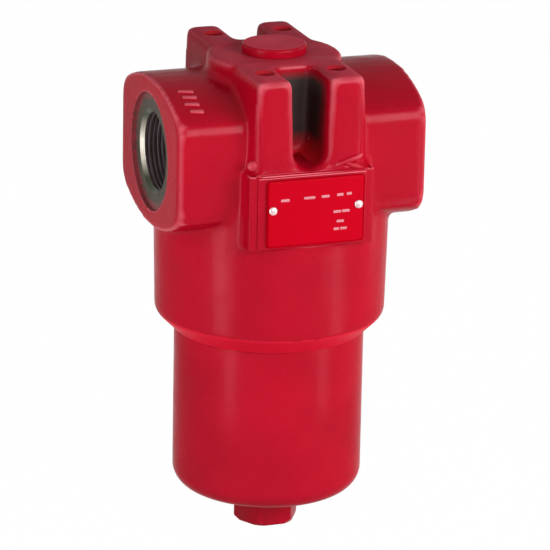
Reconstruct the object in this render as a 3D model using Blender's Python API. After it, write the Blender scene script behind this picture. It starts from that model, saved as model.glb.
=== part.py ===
# In-line hydraulic pressure filter: a cast head with two ports, and a steel bowl
# that screws up into it around a pleated element. A bypass valve sits in the head.
# Units are metres. The origin is the centre of the flat end of the bowl's hexagon.
# +Z runs up the bowl's axis, and the ports lie along X with the inlet at -X.

import math

import bmesh
import bpy
from mathutils import Matrix, Vector

# Heights, built up from the hexagon's end
HEXAGON_HEIGHT = 0.0200
SKIRT_DROP = 0.0957
TOWER_RISE = 0.0476

# Port block
PORT_SPAN = 0.1300
BLOCK_HALF_DEPTH = 0.0480
BLOCK_HALF_HEIGHT = 0.0382
BLOCK_FLAT_HALF = 0.0200
BLOCK_CORNER_Y = 0.0410
BLOCK_CORNER_Z = 0.0285
BLOCK_CORNER_OUT = 0.72
BLOCK_CORNER_UP = 0.62
BLOCK_END_BEVEL = 0.0030
BLOCK_CROWN_STEPS = 5

# Threaded ports
PORT_BORE_R = 0.0195
PORT_THREAD_DEPTH = 0.0250
PORT_SPOT_R = 0.0320
PORT_SPOT_DEPTH = 0.0018
PORT_SINK_R = 0.0214
PASSAGE_R = 0.0160
INLET_END_X = -0.0200
OUTLET_END_X = -0.0080

# Skirt around the bowl
SKIRT_WALL = 0.0115
SKIRT_TAPER = 0.0013
SKIRT_ABOVE_AXIS = -0.0180
LIP_CHAMFER = 0.0090
LIP_LAND = 0.0008

# Tower: a round boss and four pillars
BOSS_R = 0.0340
BOSS_DROP = 0.0006
BOSS_EDGE = 0.0020
PILLAR_INNER_X = 0.0098
PILLAR_OUTER_X = 0.0280
PILLAR_FOOT_X = 0.0314
PILLAR_PLAN_X = 0.0300
PILLAR_PLAN_R = 0.0080
PILLAR_PLAN_PROUD = 0.0012
PILLAR_SET_BACK = 0.0022
PILLAR_LEAN = 0.0010
PILLAR_BACK_Y = 0.0180
PILLAR_FOOT_DROP = 0.0280
PILLAR_CORNER = 0.0036
PILLAR_EDGE = 0.0024
SLOT_FLOOR = 0.0018
SLOT_DRAFT = 0.0009
SLOT_STEP = 0.0003
SLOT_END_Y = 0.0285

# Tapped holes in the pillar tops
MOUNT_HOLE_R = 0.00425
MOUNT_HOLE_DEPTH = 0.0180
MOUNT_HOLE_X = 0.0185
MOUNT_HOLE_Y = 0.0400

# Label pad, plate and rivets
PAD_HALF_WIDTH = 0.0325
PAD_TOP = 0.0010
PAD_BOTTOM = -0.0375
PAD_PROUD = 0.0002
PAD_DEPTH = 0.0200
PAD_STEP = 0.0010
PAD_BORDER = 0.0042
PAD_SHELF = 0.0010
PAD_EDGE = 0.0008
PLATE_MARGIN = 0.0012
PLATE_SIDE_MARGIN = 0.0030
PLATE_SHIFT = 0.0013
PLATE_THICKNESS = 0.0010
PLATE_CORNER = 0.0012
RIVET_HEAD_R = 0.0022
RIVET_HEAD_HEIGHT = 0.0011
RIVET_SHANK_R = 0.0012
RIVET_DEPTH = 0.0050
RIVET_SPACING = 0.0446
RIVET_ABOVE_MIDDLE = 0.0020

# Indicator port and its blank plug
PLUG_BORE_R = 0.0121
PLUG_BORE_DEPTH = 0.0210
PLUG_FLANGE_R = 0.0162
PLUG_FLANGE_HEIGHT = 0.0046
PLUG_SHANK_LENGTH = 0.0140
PLUG_SEAL_R = 0.0145
PLUG_SEAL_SECTION = 0.0011
SENSE_HOLE_R = 0.0020
SENSE_SPREAD = 0.0080
SENSE_REACH_X = 0.0340
SENSE_REACH_Z = 0.0100

# Bowl
BOWL_R = 0.0485
BOWL_WALL = 0.0085
BOWL_FLOOR = 0.0110
BOWL_CORNER_R = 0.0103
BOWL_INNER_CORNER_R = 0.0090
THREAD_LENGTH = 0.0200
NECK_STEP = 0.0020
NECK_LENGTH = 0.0180
HEXAGON_FLATS = 0.0300
HEXAGON_CHAMFER = 0.0026
TURNED_EDGE = 0.0013
SEAL_GROOVE_DROP = 0.0060
SEAL_GROOVE_HEIGHT = 0.0062
SEAL_GROOVE_DEPTH = 0.0032
BACKUP_RING_HEIGHT = 0.0016

# Inside of the head
CHAMBER_ROOF = 0.0360
SPIGOT_R = 0.0150
SPIGOT_BORE_R = 0.0110
KIDNEY_INSET = 0.0050
KIDNEY_WEB = 0.0040
KIDNEY_HALF_ANGLE = 40
KIDNEY_STEPS = 8

# Filter element
ELEMENT_DROP = 0.0620
ELEMENT_LENGTH = 0.0960
ELEMENT_ANNULUS = 0.0050
CAP_THICKNESS = 0.0030
CAP_RIM = 0.0060
CAP_WALL = 0.0010
COLLAR_WALL = 0.0042
COLLAR_HEIGHT = 0.0110
ELEMENT_SEAL_SECTION = 0.0012
PLEATS = 30
PLEAT_SPACE = 0.0028
PLEAT_INNER_R = 0.0142
PLEAT_THICKNESS = 0.0008
PLEAT_FOLD_HALF = 0.00104
CORE_R = 0.0136
CORE_WALL = 0.0010
CORE_HOLE = 0.0046
CORE_HOLES_AROUND = 6
CORE_HOLE_ROWS = 5
SLEEVE_WALL = 0.0007
SLEEVE_WINDOWS = 10
SLEEVE_WINDOW_ROWS = 3
SLEEVE_BAR = 0.0024

# Spring below the element
SUPPORT_SPRING_HEIGHT = 0.0130
SUPPORT_SPRING_R = 0.0150
SUPPORT_WIRE_R = 0.0011
SUPPORT_TURNS = 4

# Bypass valve
BYPASS_HOLE_R = 0.0080
BYPASS_FLANGE_R = 0.0100
BYPASS_FLANGE_HEIGHT = 0.0024
BYPASS_BORE_R = 0.0056
BYPASS_SEAT_RISE = 0.0030
BYPASS_HUB_R = 0.0038
BYPASS_HUB_HEIGHT = 0.0040
BYPASS_SPOKE = 0.0024
POPPET_R = 0.0069
POPPET_THICKNESS = 0.0020
POPPET_STEM_R = 0.0019
RETAINER_R = 0.0058
RETAINER_HEIGHT = 0.0026
BYPASS_CLEARANCE = 0.0008
BYPASS_SPRING_R = 0.0043
BYPASS_WIRE_R = 0.0007
BYPASS_TURNS = 5
SMALL_EDGE = 0.0006

# Clearance between neighbouring pieces, and cutters' overshoot
GAP = 0.0003
OVER = 0.0010

# Facets of round forms
FACETS_HEAD = 60
FACETS_LARGE = 36
FACETS_MEDIUM = 36
FACETS_SMALL = 24
FACETS_TINY = 12
ARC_STEPS = 5

# Places worked out from the sizes above
BOWL_INNER_R = BOWL_R - BOWL_WALL
NECK_R = BOWL_R - NECK_STEP
SKIRT_TOP_R = BOWL_R + SKIRT_WALL
SKIRT_LOW_R = SKIRT_TOP_R - SKIRT_TAPER
PILLAR_TOP_Y = SKIRT_TOP_R - PILLAR_SET_BACK
SLOT_END_R = PILLAR_INNER_X - SLOT_DRAFT
PAD_FACE_Y = SKIRT_TOP_R + PAD_PROUD
CHAMBER_R = BOWL_INNER_R
CAP_R = BOWL_INNER_R - ELEMENT_ANNULUS
PLEAT_OUTER_R = CAP_R - PLEAT_SPACE
KIDNEY_OUTER_R = CHAMBER_R - KIDNEY_INSET
KIDNEY_INNER_R = SPIGOT_R + KIDNEY_WEB
COLLAR_R = SPIGOT_R + GAP + COLLAR_WALL
BYPASS_X = COLLAR_R + GAP + RETAINER_R
BOWL_EXPOSED = BOWL_FLOOR + SUPPORT_SPRING_HEIGHT + ELEMENT_LENGTH + ELEMENT_DROP - SKIRT_DROP
LIP_Z = HEXAGON_HEIGHT + BOWL_EXPOSED
PORT_Z = LIP_Z + SKIRT_DROP
TOP_Z = PORT_Z + TOWER_RISE
BOSS_Z = TOP_Z - BOSS_DROP
SKIRT_BORE_R = BOWL_R + GAP
PILOT_BORE_R = NECK_R + GAP
SHOULDER_Z = LIP_Z + THREAD_LENGTH
RIM_Z = SHOULDER_Z + NECK_LENGTH
ROOF_Z = PORT_Z - CHAMBER_ROOF
CAP_TOP_Z = PORT_Z - ELEMENT_DROP
CAP_LOW_Z = CAP_TOP_Z - ELEMENT_LENGTH
SPIGOT_END_Z = CAP_TOP_Z - CAP_THICKNESS / 2
BOWL_FLOOR_Z = HEXAGON_HEIGHT + BOWL_FLOOR
PAD_LAND_Y = PAD_FACE_Y + PAD_STEP
PLATE_BACK_Y = PAD_LAND_Y + GAP
PLATE_FACE_Y = PLATE_BACK_Y + PLATE_THICKNESS
PLATE_HALF_WIDTH = PAD_HALF_WIDTH - PAD_BORDER - PLATE_SIDE_MARGIN
PLATE_TOP_Z = PORT_Z + PAD_TOP - PAD_SHELF - PLATE_MARGIN
PLATE_LOW_Z = PORT_Z + PAD_BOTTOM + PAD_SHELF + PLATE_MARGIN
RIVET_Z = (PLATE_TOP_Z + PLATE_LOW_Z) / 2 + RIVET_ABOVE_MIDDLE
SEAT_TOP_Z = PORT_Z - PASSAGE_R + BYPASS_SEAT_RISE
SPIDER_Z = ROOF_Z + BYPASS_HUB_HEIGHT / 2
SPRING_TOP_Z = SPIDER_Z - BYPASS_HUB_HEIGHT / 2 - GAP
STEM_LOW_Z = CAP_TOP_Z + BYPASS_CLEARANCE
SPRING_LOW_Z = STEM_LOW_Z + OVER + RETAINER_HEIGHT + GAP

AXIS_Z = Matrix.Identity(4)
ALONG_X = Matrix.Rotation(math.pi / 2, 4, "Y")


def clear_scene():
    """Removes whatever the file opened with."""
    for obj in list(bpy.data.objects):
        bpy.data.objects.remove(obj)


def material(name, colour, roughness, metallic):
    """A Principled material of one colour."""
    made = bpy.data.materials.new(name)
    made.use_nodes = True
    shader = made.node_tree.nodes["Principled BSDF"]
    shader.inputs["Base Color"].default_value = (*colour, 1.0)
    shader.inputs["Roughness"].default_value = roughness
    shader.inputs["Metallic"].default_value = metallic
    return made


def add_object(name, mesh_data, look=None):
    """Links a mesh or curve to the scene, as a named sub-part or, without a look, as a guide."""
    obj = bpy.data.objects.new(name, mesh_data)
    bpy.context.scene.collection.objects.link(obj)
    if look is None:
        obj.hide_render = True
        obj.display_type = "WIRE"
    else:
        obj.data.materials.append(look)
    return obj


def finish_mesh(name, shape, look):
    """Closes a bmesh into an object, with outward faces and smooth round sides."""
    bmesh.ops.remove_doubles(shape, verts=shape.verts, dist=1e-7)
    bmesh.ops.recalc_face_normals(shape, faces=shape.faces)
    mesh = bpy.data.meshes.new(name)
    shape.to_mesh(mesh)
    shape.free()
    mesh.shade_smooth()
    mesh.set_sharp_from_angle(angle=math.radians(35))
    return add_object(name, mesh, look)


def turned(name, profile, look=None, facets=FACETS_LARGE, place=AXIS_Z):
    """A closed profile of (radius, height) points, turned once about its own axis."""
    shape = bmesh.new()
    points = [shape.verts.new((radius, 0.0, height)) for radius, height in profile]
    edges = [shape.edges.new((a, b)) for a, b in zip(points, points[1:])]
    if profile[0][0] > 0.0 or profile[-1][0] > 0.0:
        edges.append(shape.edges.new((points[-1], points[0])))
    bmesh.ops.spin(
        shape,
        geom=points + edges,
        cent=(0.0, 0.0, 0.0),
        axis=(0.0, 0.0, 1.0),
        angle=2 * math.pi,
        steps=facets,
        use_merge=True,
    )
    bmesh.ops.transform(shape, matrix=place, verts=shape.verts)
    return finish_mesh(name, shape, look)


def prism(name, outline, depth, look=None, bevel_front=0.0, lean=0.0):
    """An outline of (x, z) points at y = 0, pushed back along +Y, with a rounded front rim."""
    shape = bmesh.new()
    points = [shape.verts.new((x, 0.0, z)) for x, z in outline]
    front = shape.faces.new(points)
    pushed = bmesh.ops.extrude_face_region(shape, geom=[front])["geom"]
    back = [part for part in pushed if isinstance(part, bmesh.types.BMVert)]
    bmesh.ops.translate(shape, vec=(0.0, depth, 0.0), verts=back)
    top = max(z for _, z in outline)
    for point in shape.verts:
        if abs(point.co.y) < OVER:
            point.co.y -= lean * (top - point.co.z)
    if bevel_front:
        rim = [
            edge
            for edge in shape.edges
            if all(vert.co.y < depth / 2 for vert in edge.verts)
            and edge.calc_face_angle(0.0) > 1.0
        ]
        bmesh.ops.bevel(
            shape,
            geom=rim,
            offset=bevel_front,
            segments=3,
            profile=0.5,
            affect="EDGES",
            clamp_overlap=True,
        )
    return finish_mesh(name, shape, look)


def block(name, low, high, look=None, bevel=0.0):
    """A box between two corners, with rounded edges where a bevel is given."""
    shape = bmesh.new()
    bmesh.ops.create_cube(shape, size=1.0)
    low = Vector(low)
    high = Vector(high)
    for point in shape.verts:
        share = point.co + Vector((0.5, 0.5, 0.5))
        point.co = [a + (b - a) * t for a, b, t in zip(low, high, share)]
    if bevel:
        bmesh.ops.bevel(
            shape,
            geom=shape.edges[:],
            offset=bevel,
            segments=2,
            profile=0.5,
            affect="EDGES",
        )
    return finish_mesh(name, shape, look)


def combine(target, tool, operation):
    """Adds an exact Boolean of a guide to an object."""
    step = target.modifiers.new(tool.name, "BOOLEAN")
    step.object = tool
    step.operation = operation
    step.solver = "EXACT"


def join(target, tool):
    """Fuses a guide's shape to an object."""
    combine(target, tool, "UNION")


def cut(target, tool):
    """Takes a guide's shape out of an object."""
    combine(target, tool, "DIFFERENCE")


def arc(centre, radius, start, end, steps=ARC_STEPS):
    """Points along an arc, with both ends, from one angle in degrees to another."""
    angles = [start + (end - start) * i / steps for i in range(steps + 1)]
    return [
        (
            centre[0] + radius * math.cos(math.radians(angle)),
            centre[1] + radius * math.sin(math.radians(angle)),
        )
        for angle in angles
    ]


def drill(name, radius, start, end, facets=FACETS_SMALL):
    """A round cutter between two points."""
    start = Vector(start)
    end = Vector(end)
    along = end - start
    place = Matrix.Translation(start) @ along.to_track_quat("Z", "Y").to_matrix().to_4x4()
    profile = [(0.0, along.length), (radius, along.length), (radius, 0.0), (0.0, 0.0)]
    return turned(name, profile, facets=facets, place=place)


def arch_height(y):
    """Height of the block's arched top or bottom above its axis, at a depth y."""
    drop = BLOCK_HALF_HEIGHT - BLOCK_CORNER_Z
    radius = (BLOCK_CORNER_Y**2 + drop**2) / (2 * drop)
    return BLOCK_HALF_HEIGHT - radius + math.sqrt(radius**2 - y**2)


def block_section():
    """Half of the port block's section, from its crest round to the middle of its flat side."""
    depths = [BLOCK_CORNER_Y * i / BLOCK_CROWN_STEPS for i in range(BLOCK_CROWN_STEPS + 1)]
    crown = [(y, arch_height(y)) for y in depths]
    middle_y = BLOCK_CORNER_Y + BLOCK_CORNER_OUT * (BLOCK_HALF_DEPTH - BLOCK_CORNER_Y)
    middle_z = BLOCK_FLAT_HALF + BLOCK_CORNER_UP * (BLOCK_CORNER_Z - BLOCK_FLAT_HALF)
    return crown + [(middle_y, middle_z), (BLOCK_HALF_DEPTH, BLOCK_FLAT_HALF)]


def port_block():
    """The arched block that both ports open from, along X."""
    quarter = block_section()
    lower = [(y, -z) for y, z in reversed(quarter)]
    right = quarter + lower
    outline = right + [(-y, z) for y, z in reversed(right) if abs(y) > 1e-6]
    shape = bmesh.new()
    half = PORT_SPAN / 2
    ends = []
    for x in (-half, half):
        ring = [shape.verts.new((x, y, PORT_Z + z)) for y, z in outline]
        ends.append(ring)
        shape.faces.new(ring)
    count = len(outline)
    for i in range(count):
        j = (i + 1) % count
        shape.faces.new((ends[0][i], ends[0][j], ends[1][j], ends[1][i]))
    rims = [
        edge
        for edge in shape.edges
        if abs(abs(edge.verts[0].co.x + edge.verts[1].co.x) / 2 - half) < 1e-6
        and abs(edge.verts[0].co.x - edge.verts[1].co.x) < 1e-6
    ]
    bmesh.ops.bevel(
        shape,
        geom=rims,
        offset=BLOCK_END_BEVEL,
        segments=3,
        profile=0.5,
        affect="EDGES",
    )
    return finish_mesh("block_form", shape, None)


def skirt_form():
    """The tapered skirt with the chamfer above its lip, solid inside."""
    top = PORT_Z + SKIRT_ABOVE_AXIS
    lip_r = SKIRT_BORE_R + LIP_LAND
    profile = [
        (0.0, top),
        (SKIRT_TOP_R, top),
        (SKIRT_LOW_R, LIP_Z + LIP_CHAMFER),
        (lip_r, LIP_Z),
        (0.0, LIP_Z),
    ]
    return turned("skirt_form", profile, facets=FACETS_HEAD)


def pillar_outline():
    """Front view of two pillars with the U-shaped slot between them, as (x, z) points."""
    slot_r = SLOT_END_R
    slot_centre = PORT_Z + SLOT_FLOOR + slot_r
    foot = PORT_Z - PILLAR_FOOT_DROP
    corner = PILLAR_CORNER
    right = arc((0.0, slot_centre), slot_r, -90, 0)
    right += arc((PILLAR_INNER_X + corner, TOP_Z - corner), corner, 180, 90, steps=2)
    right += arc((PILLAR_OUTER_X - corner, TOP_Z - corner), corner, 90, 0, steps=2)
    right += [(PILLAR_FOOT_X, foot)]
    left = [(-x, z) for x, z in reversed(right) if x > 1e-9]
    return right + left


def pillar_plan(name):
    """The front pillars seen from above, with round outer corners, pushed up past their tops."""
    radius = PILLAR_PLAN_R
    front = PILLAR_TOP_Y + PILLAR_PLAN_PROUD
    right = arc((PILLAR_PLAN_X - radius, front - radius), radius, 90, 0, steps=5)
    right += [(PILLAR_PLAN_X, 0.0)]
    outline = right + [(-x, y) for x, y in reversed(right)]
    low = PORT_Z - PILLAR_FOOT_DROP - OVER
    plan = prism(name, outline, TOP_Z + OVER - low)
    upright = Matrix.Rotation(math.pi / 2, 4, "X")
    plan.data.transform(Matrix.Translation((0.0, 0.0, low)) @ upright)
    return plan


def pillar_pair(name, side):
    """Two pillars of one side, side -1 at the front and +1 at the back."""
    lean = PILLAR_LEAN / (TOWER_RISE + PILLAR_FOOT_DROP)
    depth = PILLAR_TOP_Y - PILLAR_BACK_Y
    pair = prism(name, pillar_outline(), depth, bevel_front=PILLAR_EDGE, lean=lean)
    pair.data.transform(Matrix.Translation((0.0, -PILLAR_TOP_Y, 0.0)))
    plan = pillar_plan(name + "_plan")
    if side > 0:
        turn = Matrix.Rotation(math.pi, 4, "Z")
        pair.data.transform(turn)
        plan.data.transform(turn)
    combine(pair, plan, "INTERSECT")
    return pair


def slot_channel(name, side):
    """A U-shaped cutter that carries the slot between two pillars on into the block."""
    radius = SLOT_END_R - SLOT_STEP
    centre = PORT_Z + SLOT_FLOOR + SLOT_END_R
    right = arc((0.0, centre), radius, -90, 0) + [(PILLAR_INNER_X - SLOT_STEP, TOP_Z + OVER)]
    outline = right + [(-x, z) for x, z in reversed(right) if x > 1e-9]
    start = PAD_FACE_Y + OVER
    channel = prism(name, outline, start - SLOT_END_Y)
    channel.data.transform(Matrix.Translation((0.0, -start, 0.0)))
    if side > 0:
        channel.data.transform(Matrix.Rotation(math.pi, 4, "Z"))
    return channel


def round_boss():
    """The round boss in the middle of the tower."""
    low = PORT_Z - PILLAR_FOOT_DROP / 2
    profile = [(0.0, BOSS_Z)]
    profile += arc((BOSS_R - BOSS_EDGE, BOSS_Z - BOSS_EDGE), BOSS_EDGE, 90, 0, steps=2)
    profile += [(BOSS_R, low), (0.0, low)]
    return turned("boss_form", profile, facets=FACETS_HEAD)


def label_pad(head):
    """The stepped pad for the name plate, standing proud of the skirt's front."""
    back = -PAD_FACE_Y + PAD_DEPTH
    low = PORT_Z + PAD_BOTTOM
    top = PORT_Z + PAD_TOP
    half = PAD_HALF_WIDTH
    outer = block("pad_form", (-half, -PAD_FACE_Y, low), (half, back, top), bevel=PAD_EDGE)
    join(head, outer)
    half -= PAD_BORDER
    low += PAD_SHELF
    top -= PAD_SHELF
    inner = block("land_form", (-half, -PAD_LAND_Y, low), (half, back, top), bevel=PAD_EDGE / 2)
    join(head, inner)


def cut_port(head, name, side):
    """One threaded port with its spotface and countersink, side -1 at the inlet."""
    face = PORT_SPAN / 2
    floor = face - PORT_SPOT_DEPTH
    sink = PORT_SINK_R - PORT_BORE_R
    thread_end = floor - PORT_THREAD_DEPTH
    end = -INLET_END_X if side < 0 else OUTLET_END_X
    profile = [
        (0.0, face + OVER),
        (PORT_SPOT_R, face + OVER),
        (PORT_SPOT_R, floor),
        (PORT_SINK_R, floor),
        (PORT_BORE_R, floor - sink),
        (PORT_BORE_R, thread_end),
        (PASSAGE_R, thread_end - (PORT_BORE_R - PASSAGE_R)),
        (PASSAGE_R, end),
        (0.0, end),
    ]
    turn = ALONG_X if side > 0 else Matrix.Rotation(-math.pi / 2, 4, "Y")
    place = Matrix.Translation((0.0, 0.0, PORT_Z)) @ turn
    cut(head, turned(name, profile, facets=FACETS_MEDIUM, place=place))


def cut_bowl_side(head):
    """The threaded skirt bore, the pilot bore and the chamber around the spigot."""
    low = LIP_Z - OVER
    shelf = SHOULDER_Z + GAP
    pilot_end = RIM_Z + 2 * GAP
    profile = [
        (0.0, low),
        (SKIRT_BORE_R, low),
        (SKIRT_BORE_R, shelf),
        (PILOT_BORE_R, shelf),
        (PILOT_BORE_R, pilot_end),
        (CHAMBER_R, pilot_end + (PILOT_BORE_R - CHAMBER_R) / 2),
        (CHAMBER_R, ROOF_Z),
        (SPIGOT_R, ROOF_Z),
        (SPIGOT_R, SPIGOT_END_Z),
        (0.0, SPIGOT_END_Z),
    ]
    cut(head, turned("chamber_cut", profile, facets=FACETS_HEAD))
    bore = drill("spigot_cut", SPIGOT_BORE_R, (0, 0, SPIGOT_END_Z - OVER), (0, 0, PORT_Z))
    cut(head, bore)


def kidney_passage():
    """A cutter along an arc around the spigot, from the inlet down to the chamber."""
    shape = bmesh.new()
    low = ROOF_Z - OVER
    corners = [
        (KIDNEY_INNER_R, low),
        (KIDNEY_OUTER_R, low),
        (KIDNEY_OUTER_R, PORT_Z),
        (KIDNEY_INNER_R, PORT_Z),
    ]
    rings = []
    for i in range(KIDNEY_STEPS + 1):
        swing = KIDNEY_HALF_ANGLE * (2 * i / KIDNEY_STEPS - 1)
        angle = math.pi + math.radians(swing)
        ring = [
            shape.verts.new((r * math.cos(angle), r * math.sin(angle), z)) for r, z in corners
        ]
        rings.append(ring)
    for near, far in zip(rings, rings[1:]):
        for i in range(len(corners)):
            j = (i + 1) % len(corners)
            shape.faces.new((near[i], near[j], far[j], far[i]))
    shape.faces.new(rings[0])
    shape.faces.new(rings[-1])
    return finish_mesh("kidney_cut", shape, None)


def cut_top(head):
    """The indicator port, its two sense drillings and the four tapped holes."""
    bore_low = BOSS_Z - PLUG_BORE_DEPTH
    bore = drill("plug_bore_cut", PLUG_BORE_R, (0, 0, bore_low), (0, 0, BOSS_Z + OVER), FACETS_MEDIUM)
    cut(head, bore)
    sense = SENSE_SPREAD
    outlet = drill("outlet_sense_cut", SENSE_HOLE_R, (sense, 0, PORT_Z), (sense, 0, bore_low + OVER))
    cut(head, outlet)
    target = (-SENSE_REACH_X, 0, PORT_Z + SENSE_REACH_Z)
    inlet = drill("inlet_sense_cut", SENSE_HOLE_R, target, (-sense, 0, bore_low + OVER))
    cut(head, inlet)
    for x in (-MOUNT_HOLE_X, MOUNT_HOLE_X):
        for y in (-MOUNT_HOLE_Y, MOUNT_HOLE_Y):
            name = "mount_cut"
            low = (x, y, TOP_Z - MOUNT_HOLE_DEPTH)
            cut(head, drill(name, MOUNT_HOLE_R, low, (x, y, TOP_Z + OVER), FACETS_TINY))


def rivet_places():
    """The two rivets' names and their x."""
    left = PLATE_SHIFT - RIVET_SPACING / 2
    return (("plate_rivet_left", left), ("plate_rivet_right", left + RIVET_SPACING))


def rivet_hole(name, x):
    """A cutter for one rivet's hole, through plate and pad."""
    start = (x, -PLATE_FACE_Y - OVER, RIVET_Z)
    end = (x, -PLATE_FACE_Y + RIVET_DEPTH + GAP, RIVET_Z)
    return drill(name, RIVET_SHANK_R + GAP, start, end, FACETS_TINY)


def filter_head(look):
    """The cast head: one solid, fused from its forms and then machined."""
    head = turned("filter_head", head_core(), look, FACETS_SMALL)
    join(head, skirt_form())
    join(head, port_block())
    join(head, pillar_pair("front_pillar_form", -1))
    join(head, pillar_pair("rear_pillar_form", 1))
    join(head, round_boss())
    cut(head, slot_channel("front_slot_cut", -1))
    cut(head, slot_channel("rear_slot_cut", 1))
    label_pad(head)
    cut_bowl_side(head)
    cut(head, kidney_passage())
    cut_port(head, "inlet_cut", -1)
    cut_port(head, "outlet_cut", 1)
    cut_top(head)
    hole_top = (BYPASS_X, 0, PORT_Z)
    hole_low = (BYPASS_X, 0, ROOF_Z - OVER)
    cut(head, drill("bypass_cut", BYPASS_HOLE_R, hole_low, hole_top, FACETS_SMALL))
    for name, x in rivet_places():
        cut(head, rivet_hole(name + "_cut", x))
    return head


def head_core():
    """The plug of metal between the skirt and the tower, which the other forms grow from."""
    low = PORT_Z + SKIRT_ABOVE_AXIS - OVER
    radius = BLOCK_HALF_HEIGHT / 2
    return [(0.0, PORT_Z), (radius, PORT_Z), (radius, low), (0.0, low)]


def name_plate(look):
    """The thin plate on the pad, with two rivet holes."""
    radius = PLATE_CORNER
    half = PLATE_HALF_WIDTH - radius
    top = PLATE_TOP_Z - radius
    low = PLATE_LOW_Z + radius
    outline = arc((half, top), radius, 90, 0, steps=3)
    outline += arc((half, low), radius, 0, -90, steps=3)
    outline += arc((-half, low), radius, -90, -180, steps=3)
    outline += arc((-half, top), radius, 180, 90, steps=3)
    plate = prism("name_plate", outline, PLATE_THICKNESS, look)
    plate.data.transform(Matrix.Translation((PLATE_SHIFT, -PLATE_FACE_Y, 0.0)))
    for name, x in rivet_places():
        cut(plate, rivet_hole(name + "_plate_cut", x))


def plate_rivet(name, x, look):
    """A drive rivet with a domed head."""
    head = arc((0.0, 0.0), RIVET_HEAD_R, 90, 0, steps=3)
    squash = RIVET_HEAD_HEIGHT / RIVET_HEAD_R
    profile = [(r if r > 1e-9 else 0.0, z * squash) for r, z in head]
    profile += [(RIVET_SHANK_R, 0.0), (RIVET_SHANK_R, -RIVET_DEPTH), (0.0, -RIVET_DEPTH)]
    turn = Matrix.Rotation(math.pi / 2, 4, "X")
    rivet = turned(name, profile, look, FACETS_TINY, turn)
    rivet.location = (x, -PLATE_FACE_Y - GAP, RIVET_Z)


def port_plug(look):
    """The flanged plug of the indicator port."""
    seat = BOSS_Z + GAP
    top = seat + PLUG_FLANGE_HEIGHT
    shank_r = PLUG_BORE_R - GAP
    edge = TURNED_EDGE
    groove_in = PLUG_SEAL_R - PLUG_SEAL_SECTION - GAP
    groove_out = PLUG_SEAL_R + PLUG_SEAL_SECTION + GAP
    profile = [
        (0.0, top),
        (PLUG_FLANGE_R - edge, top),
        (PLUG_FLANGE_R, top - edge),
        (PLUG_FLANGE_R, seat),
        (groove_out, seat),
        (groove_out, seat + 2 * PLUG_SEAL_SECTION),
        (groove_in, seat + 2 * PLUG_SEAL_SECTION),
        (groove_in, seat),
        (shank_r, seat),
        (shank_r, seat - PLUG_SHANK_LENGTH + edge),
        (shank_r - edge, seat - PLUG_SHANK_LENGTH),
        (0.0, seat - PLUG_SHANK_LENGTH),
    ]
    turned("indicator_port_plug", profile, look, FACETS_MEDIUM)


def ring_seal(name, middle_r, section_r, z, look, facets=FACETS_SMALL):
    """An O-ring at a height."""
    steps = 6
    profile = arc((middle_r, z), section_r, 360, 0, steps)[:-1]
    turned(name, profile, look, facets)


def bowl(look):
    """The deep-drawn bowl with its sealing neck and the wrench hexagon under its floor."""
    groove_top = RIM_Z - SEAL_GROOVE_DROP
    groove_low = groove_top - SEAL_GROOVE_HEIGHT
    groove_r = NECK_R - SEAL_GROOVE_DEPTH
    edge = TURNED_EDGE
    outside = [
        (BOWL_INNER_R, RIM_Z),
        (NECK_R - edge, RIM_Z),
        (NECK_R, RIM_Z - edge),
        (NECK_R, groove_top),
        (groove_r, groove_top),
        (groove_r, groove_low),
        (NECK_R, groove_low),
        (NECK_R, SHOULDER_Z),
        (BOWL_R - edge, SHOULDER_Z),
        (BOWL_R, SHOULDER_Z - edge),
    ]
    centre = (BOWL_R - BOWL_CORNER_R, HEXAGON_HEIGHT + BOWL_CORNER_R)
    outside += arc(centre, BOWL_CORNER_R, 0, -90)
    outside += [(0.0, HEXAGON_HEIGHT)]
    floor_centre = (BOWL_INNER_R - BOWL_INNER_CORNER_R, BOWL_FLOOR_Z + BOWL_INNER_CORNER_R)
    inside = [(0.0, BOWL_FLOOR_Z)] + arc(floor_centre, BOWL_INNER_CORNER_R, -90, 0)
    shape = turned("bowl", inside + outside, look)
    corner = HEXAGON_FLATS / math.sqrt(3)
    start = (0, 0, 0)
    hexagon = drill("hexagon_form", corner, start, (0, 0, HEXAGON_HEIGHT + BOWL_FLOOR / 2), 6)
    flats_over_x = Matrix.Rotation(math.radians(30), 4, "Z")
    hexagon.data.transform(flats_over_x)
    cone = [
        (0.0, BOWL_FLOOR_Z),
        (corner + OVER, BOWL_FLOOR_Z),
        (corner + OVER, HEXAGON_CHAMFER + OVER),
        (corner - HEXAGON_CHAMFER, 0.0),
        (0.0, 0.0),
    ]
    combine(hexagon, turned("hexagon_chamfer_form", cone, facets=FACETS_MEDIUM), "INTERSECT")
    join(shape, hexagon)
    return shape


def bowl_seals(seal_look, backup_look):
    """The O-ring and its backup ring in the neck's groove."""
    groove_top = RIM_Z - SEAL_GROOVE_DROP
    groove_low = groove_top - SEAL_GROOVE_HEIGHT
    inner = NECK_R - SEAL_GROOVE_DEPTH + GAP
    outer = NECK_R
    backup_low = groove_low + GAP
    backup_top = backup_low + BACKUP_RING_HEIGHT
    profile = [(outer, backup_top), (outer, backup_low), (inner, backup_low), (inner, backup_top)]
    turned("bowl_backup_ring", profile, backup_look)
    section = (outer - inner) / 2
    seal_z = backup_top + GAP + section
    ring_seal("bowl_o_ring", (inner + outer) / 2, section, seal_z, seal_look, FACETS_LARGE)


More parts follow.
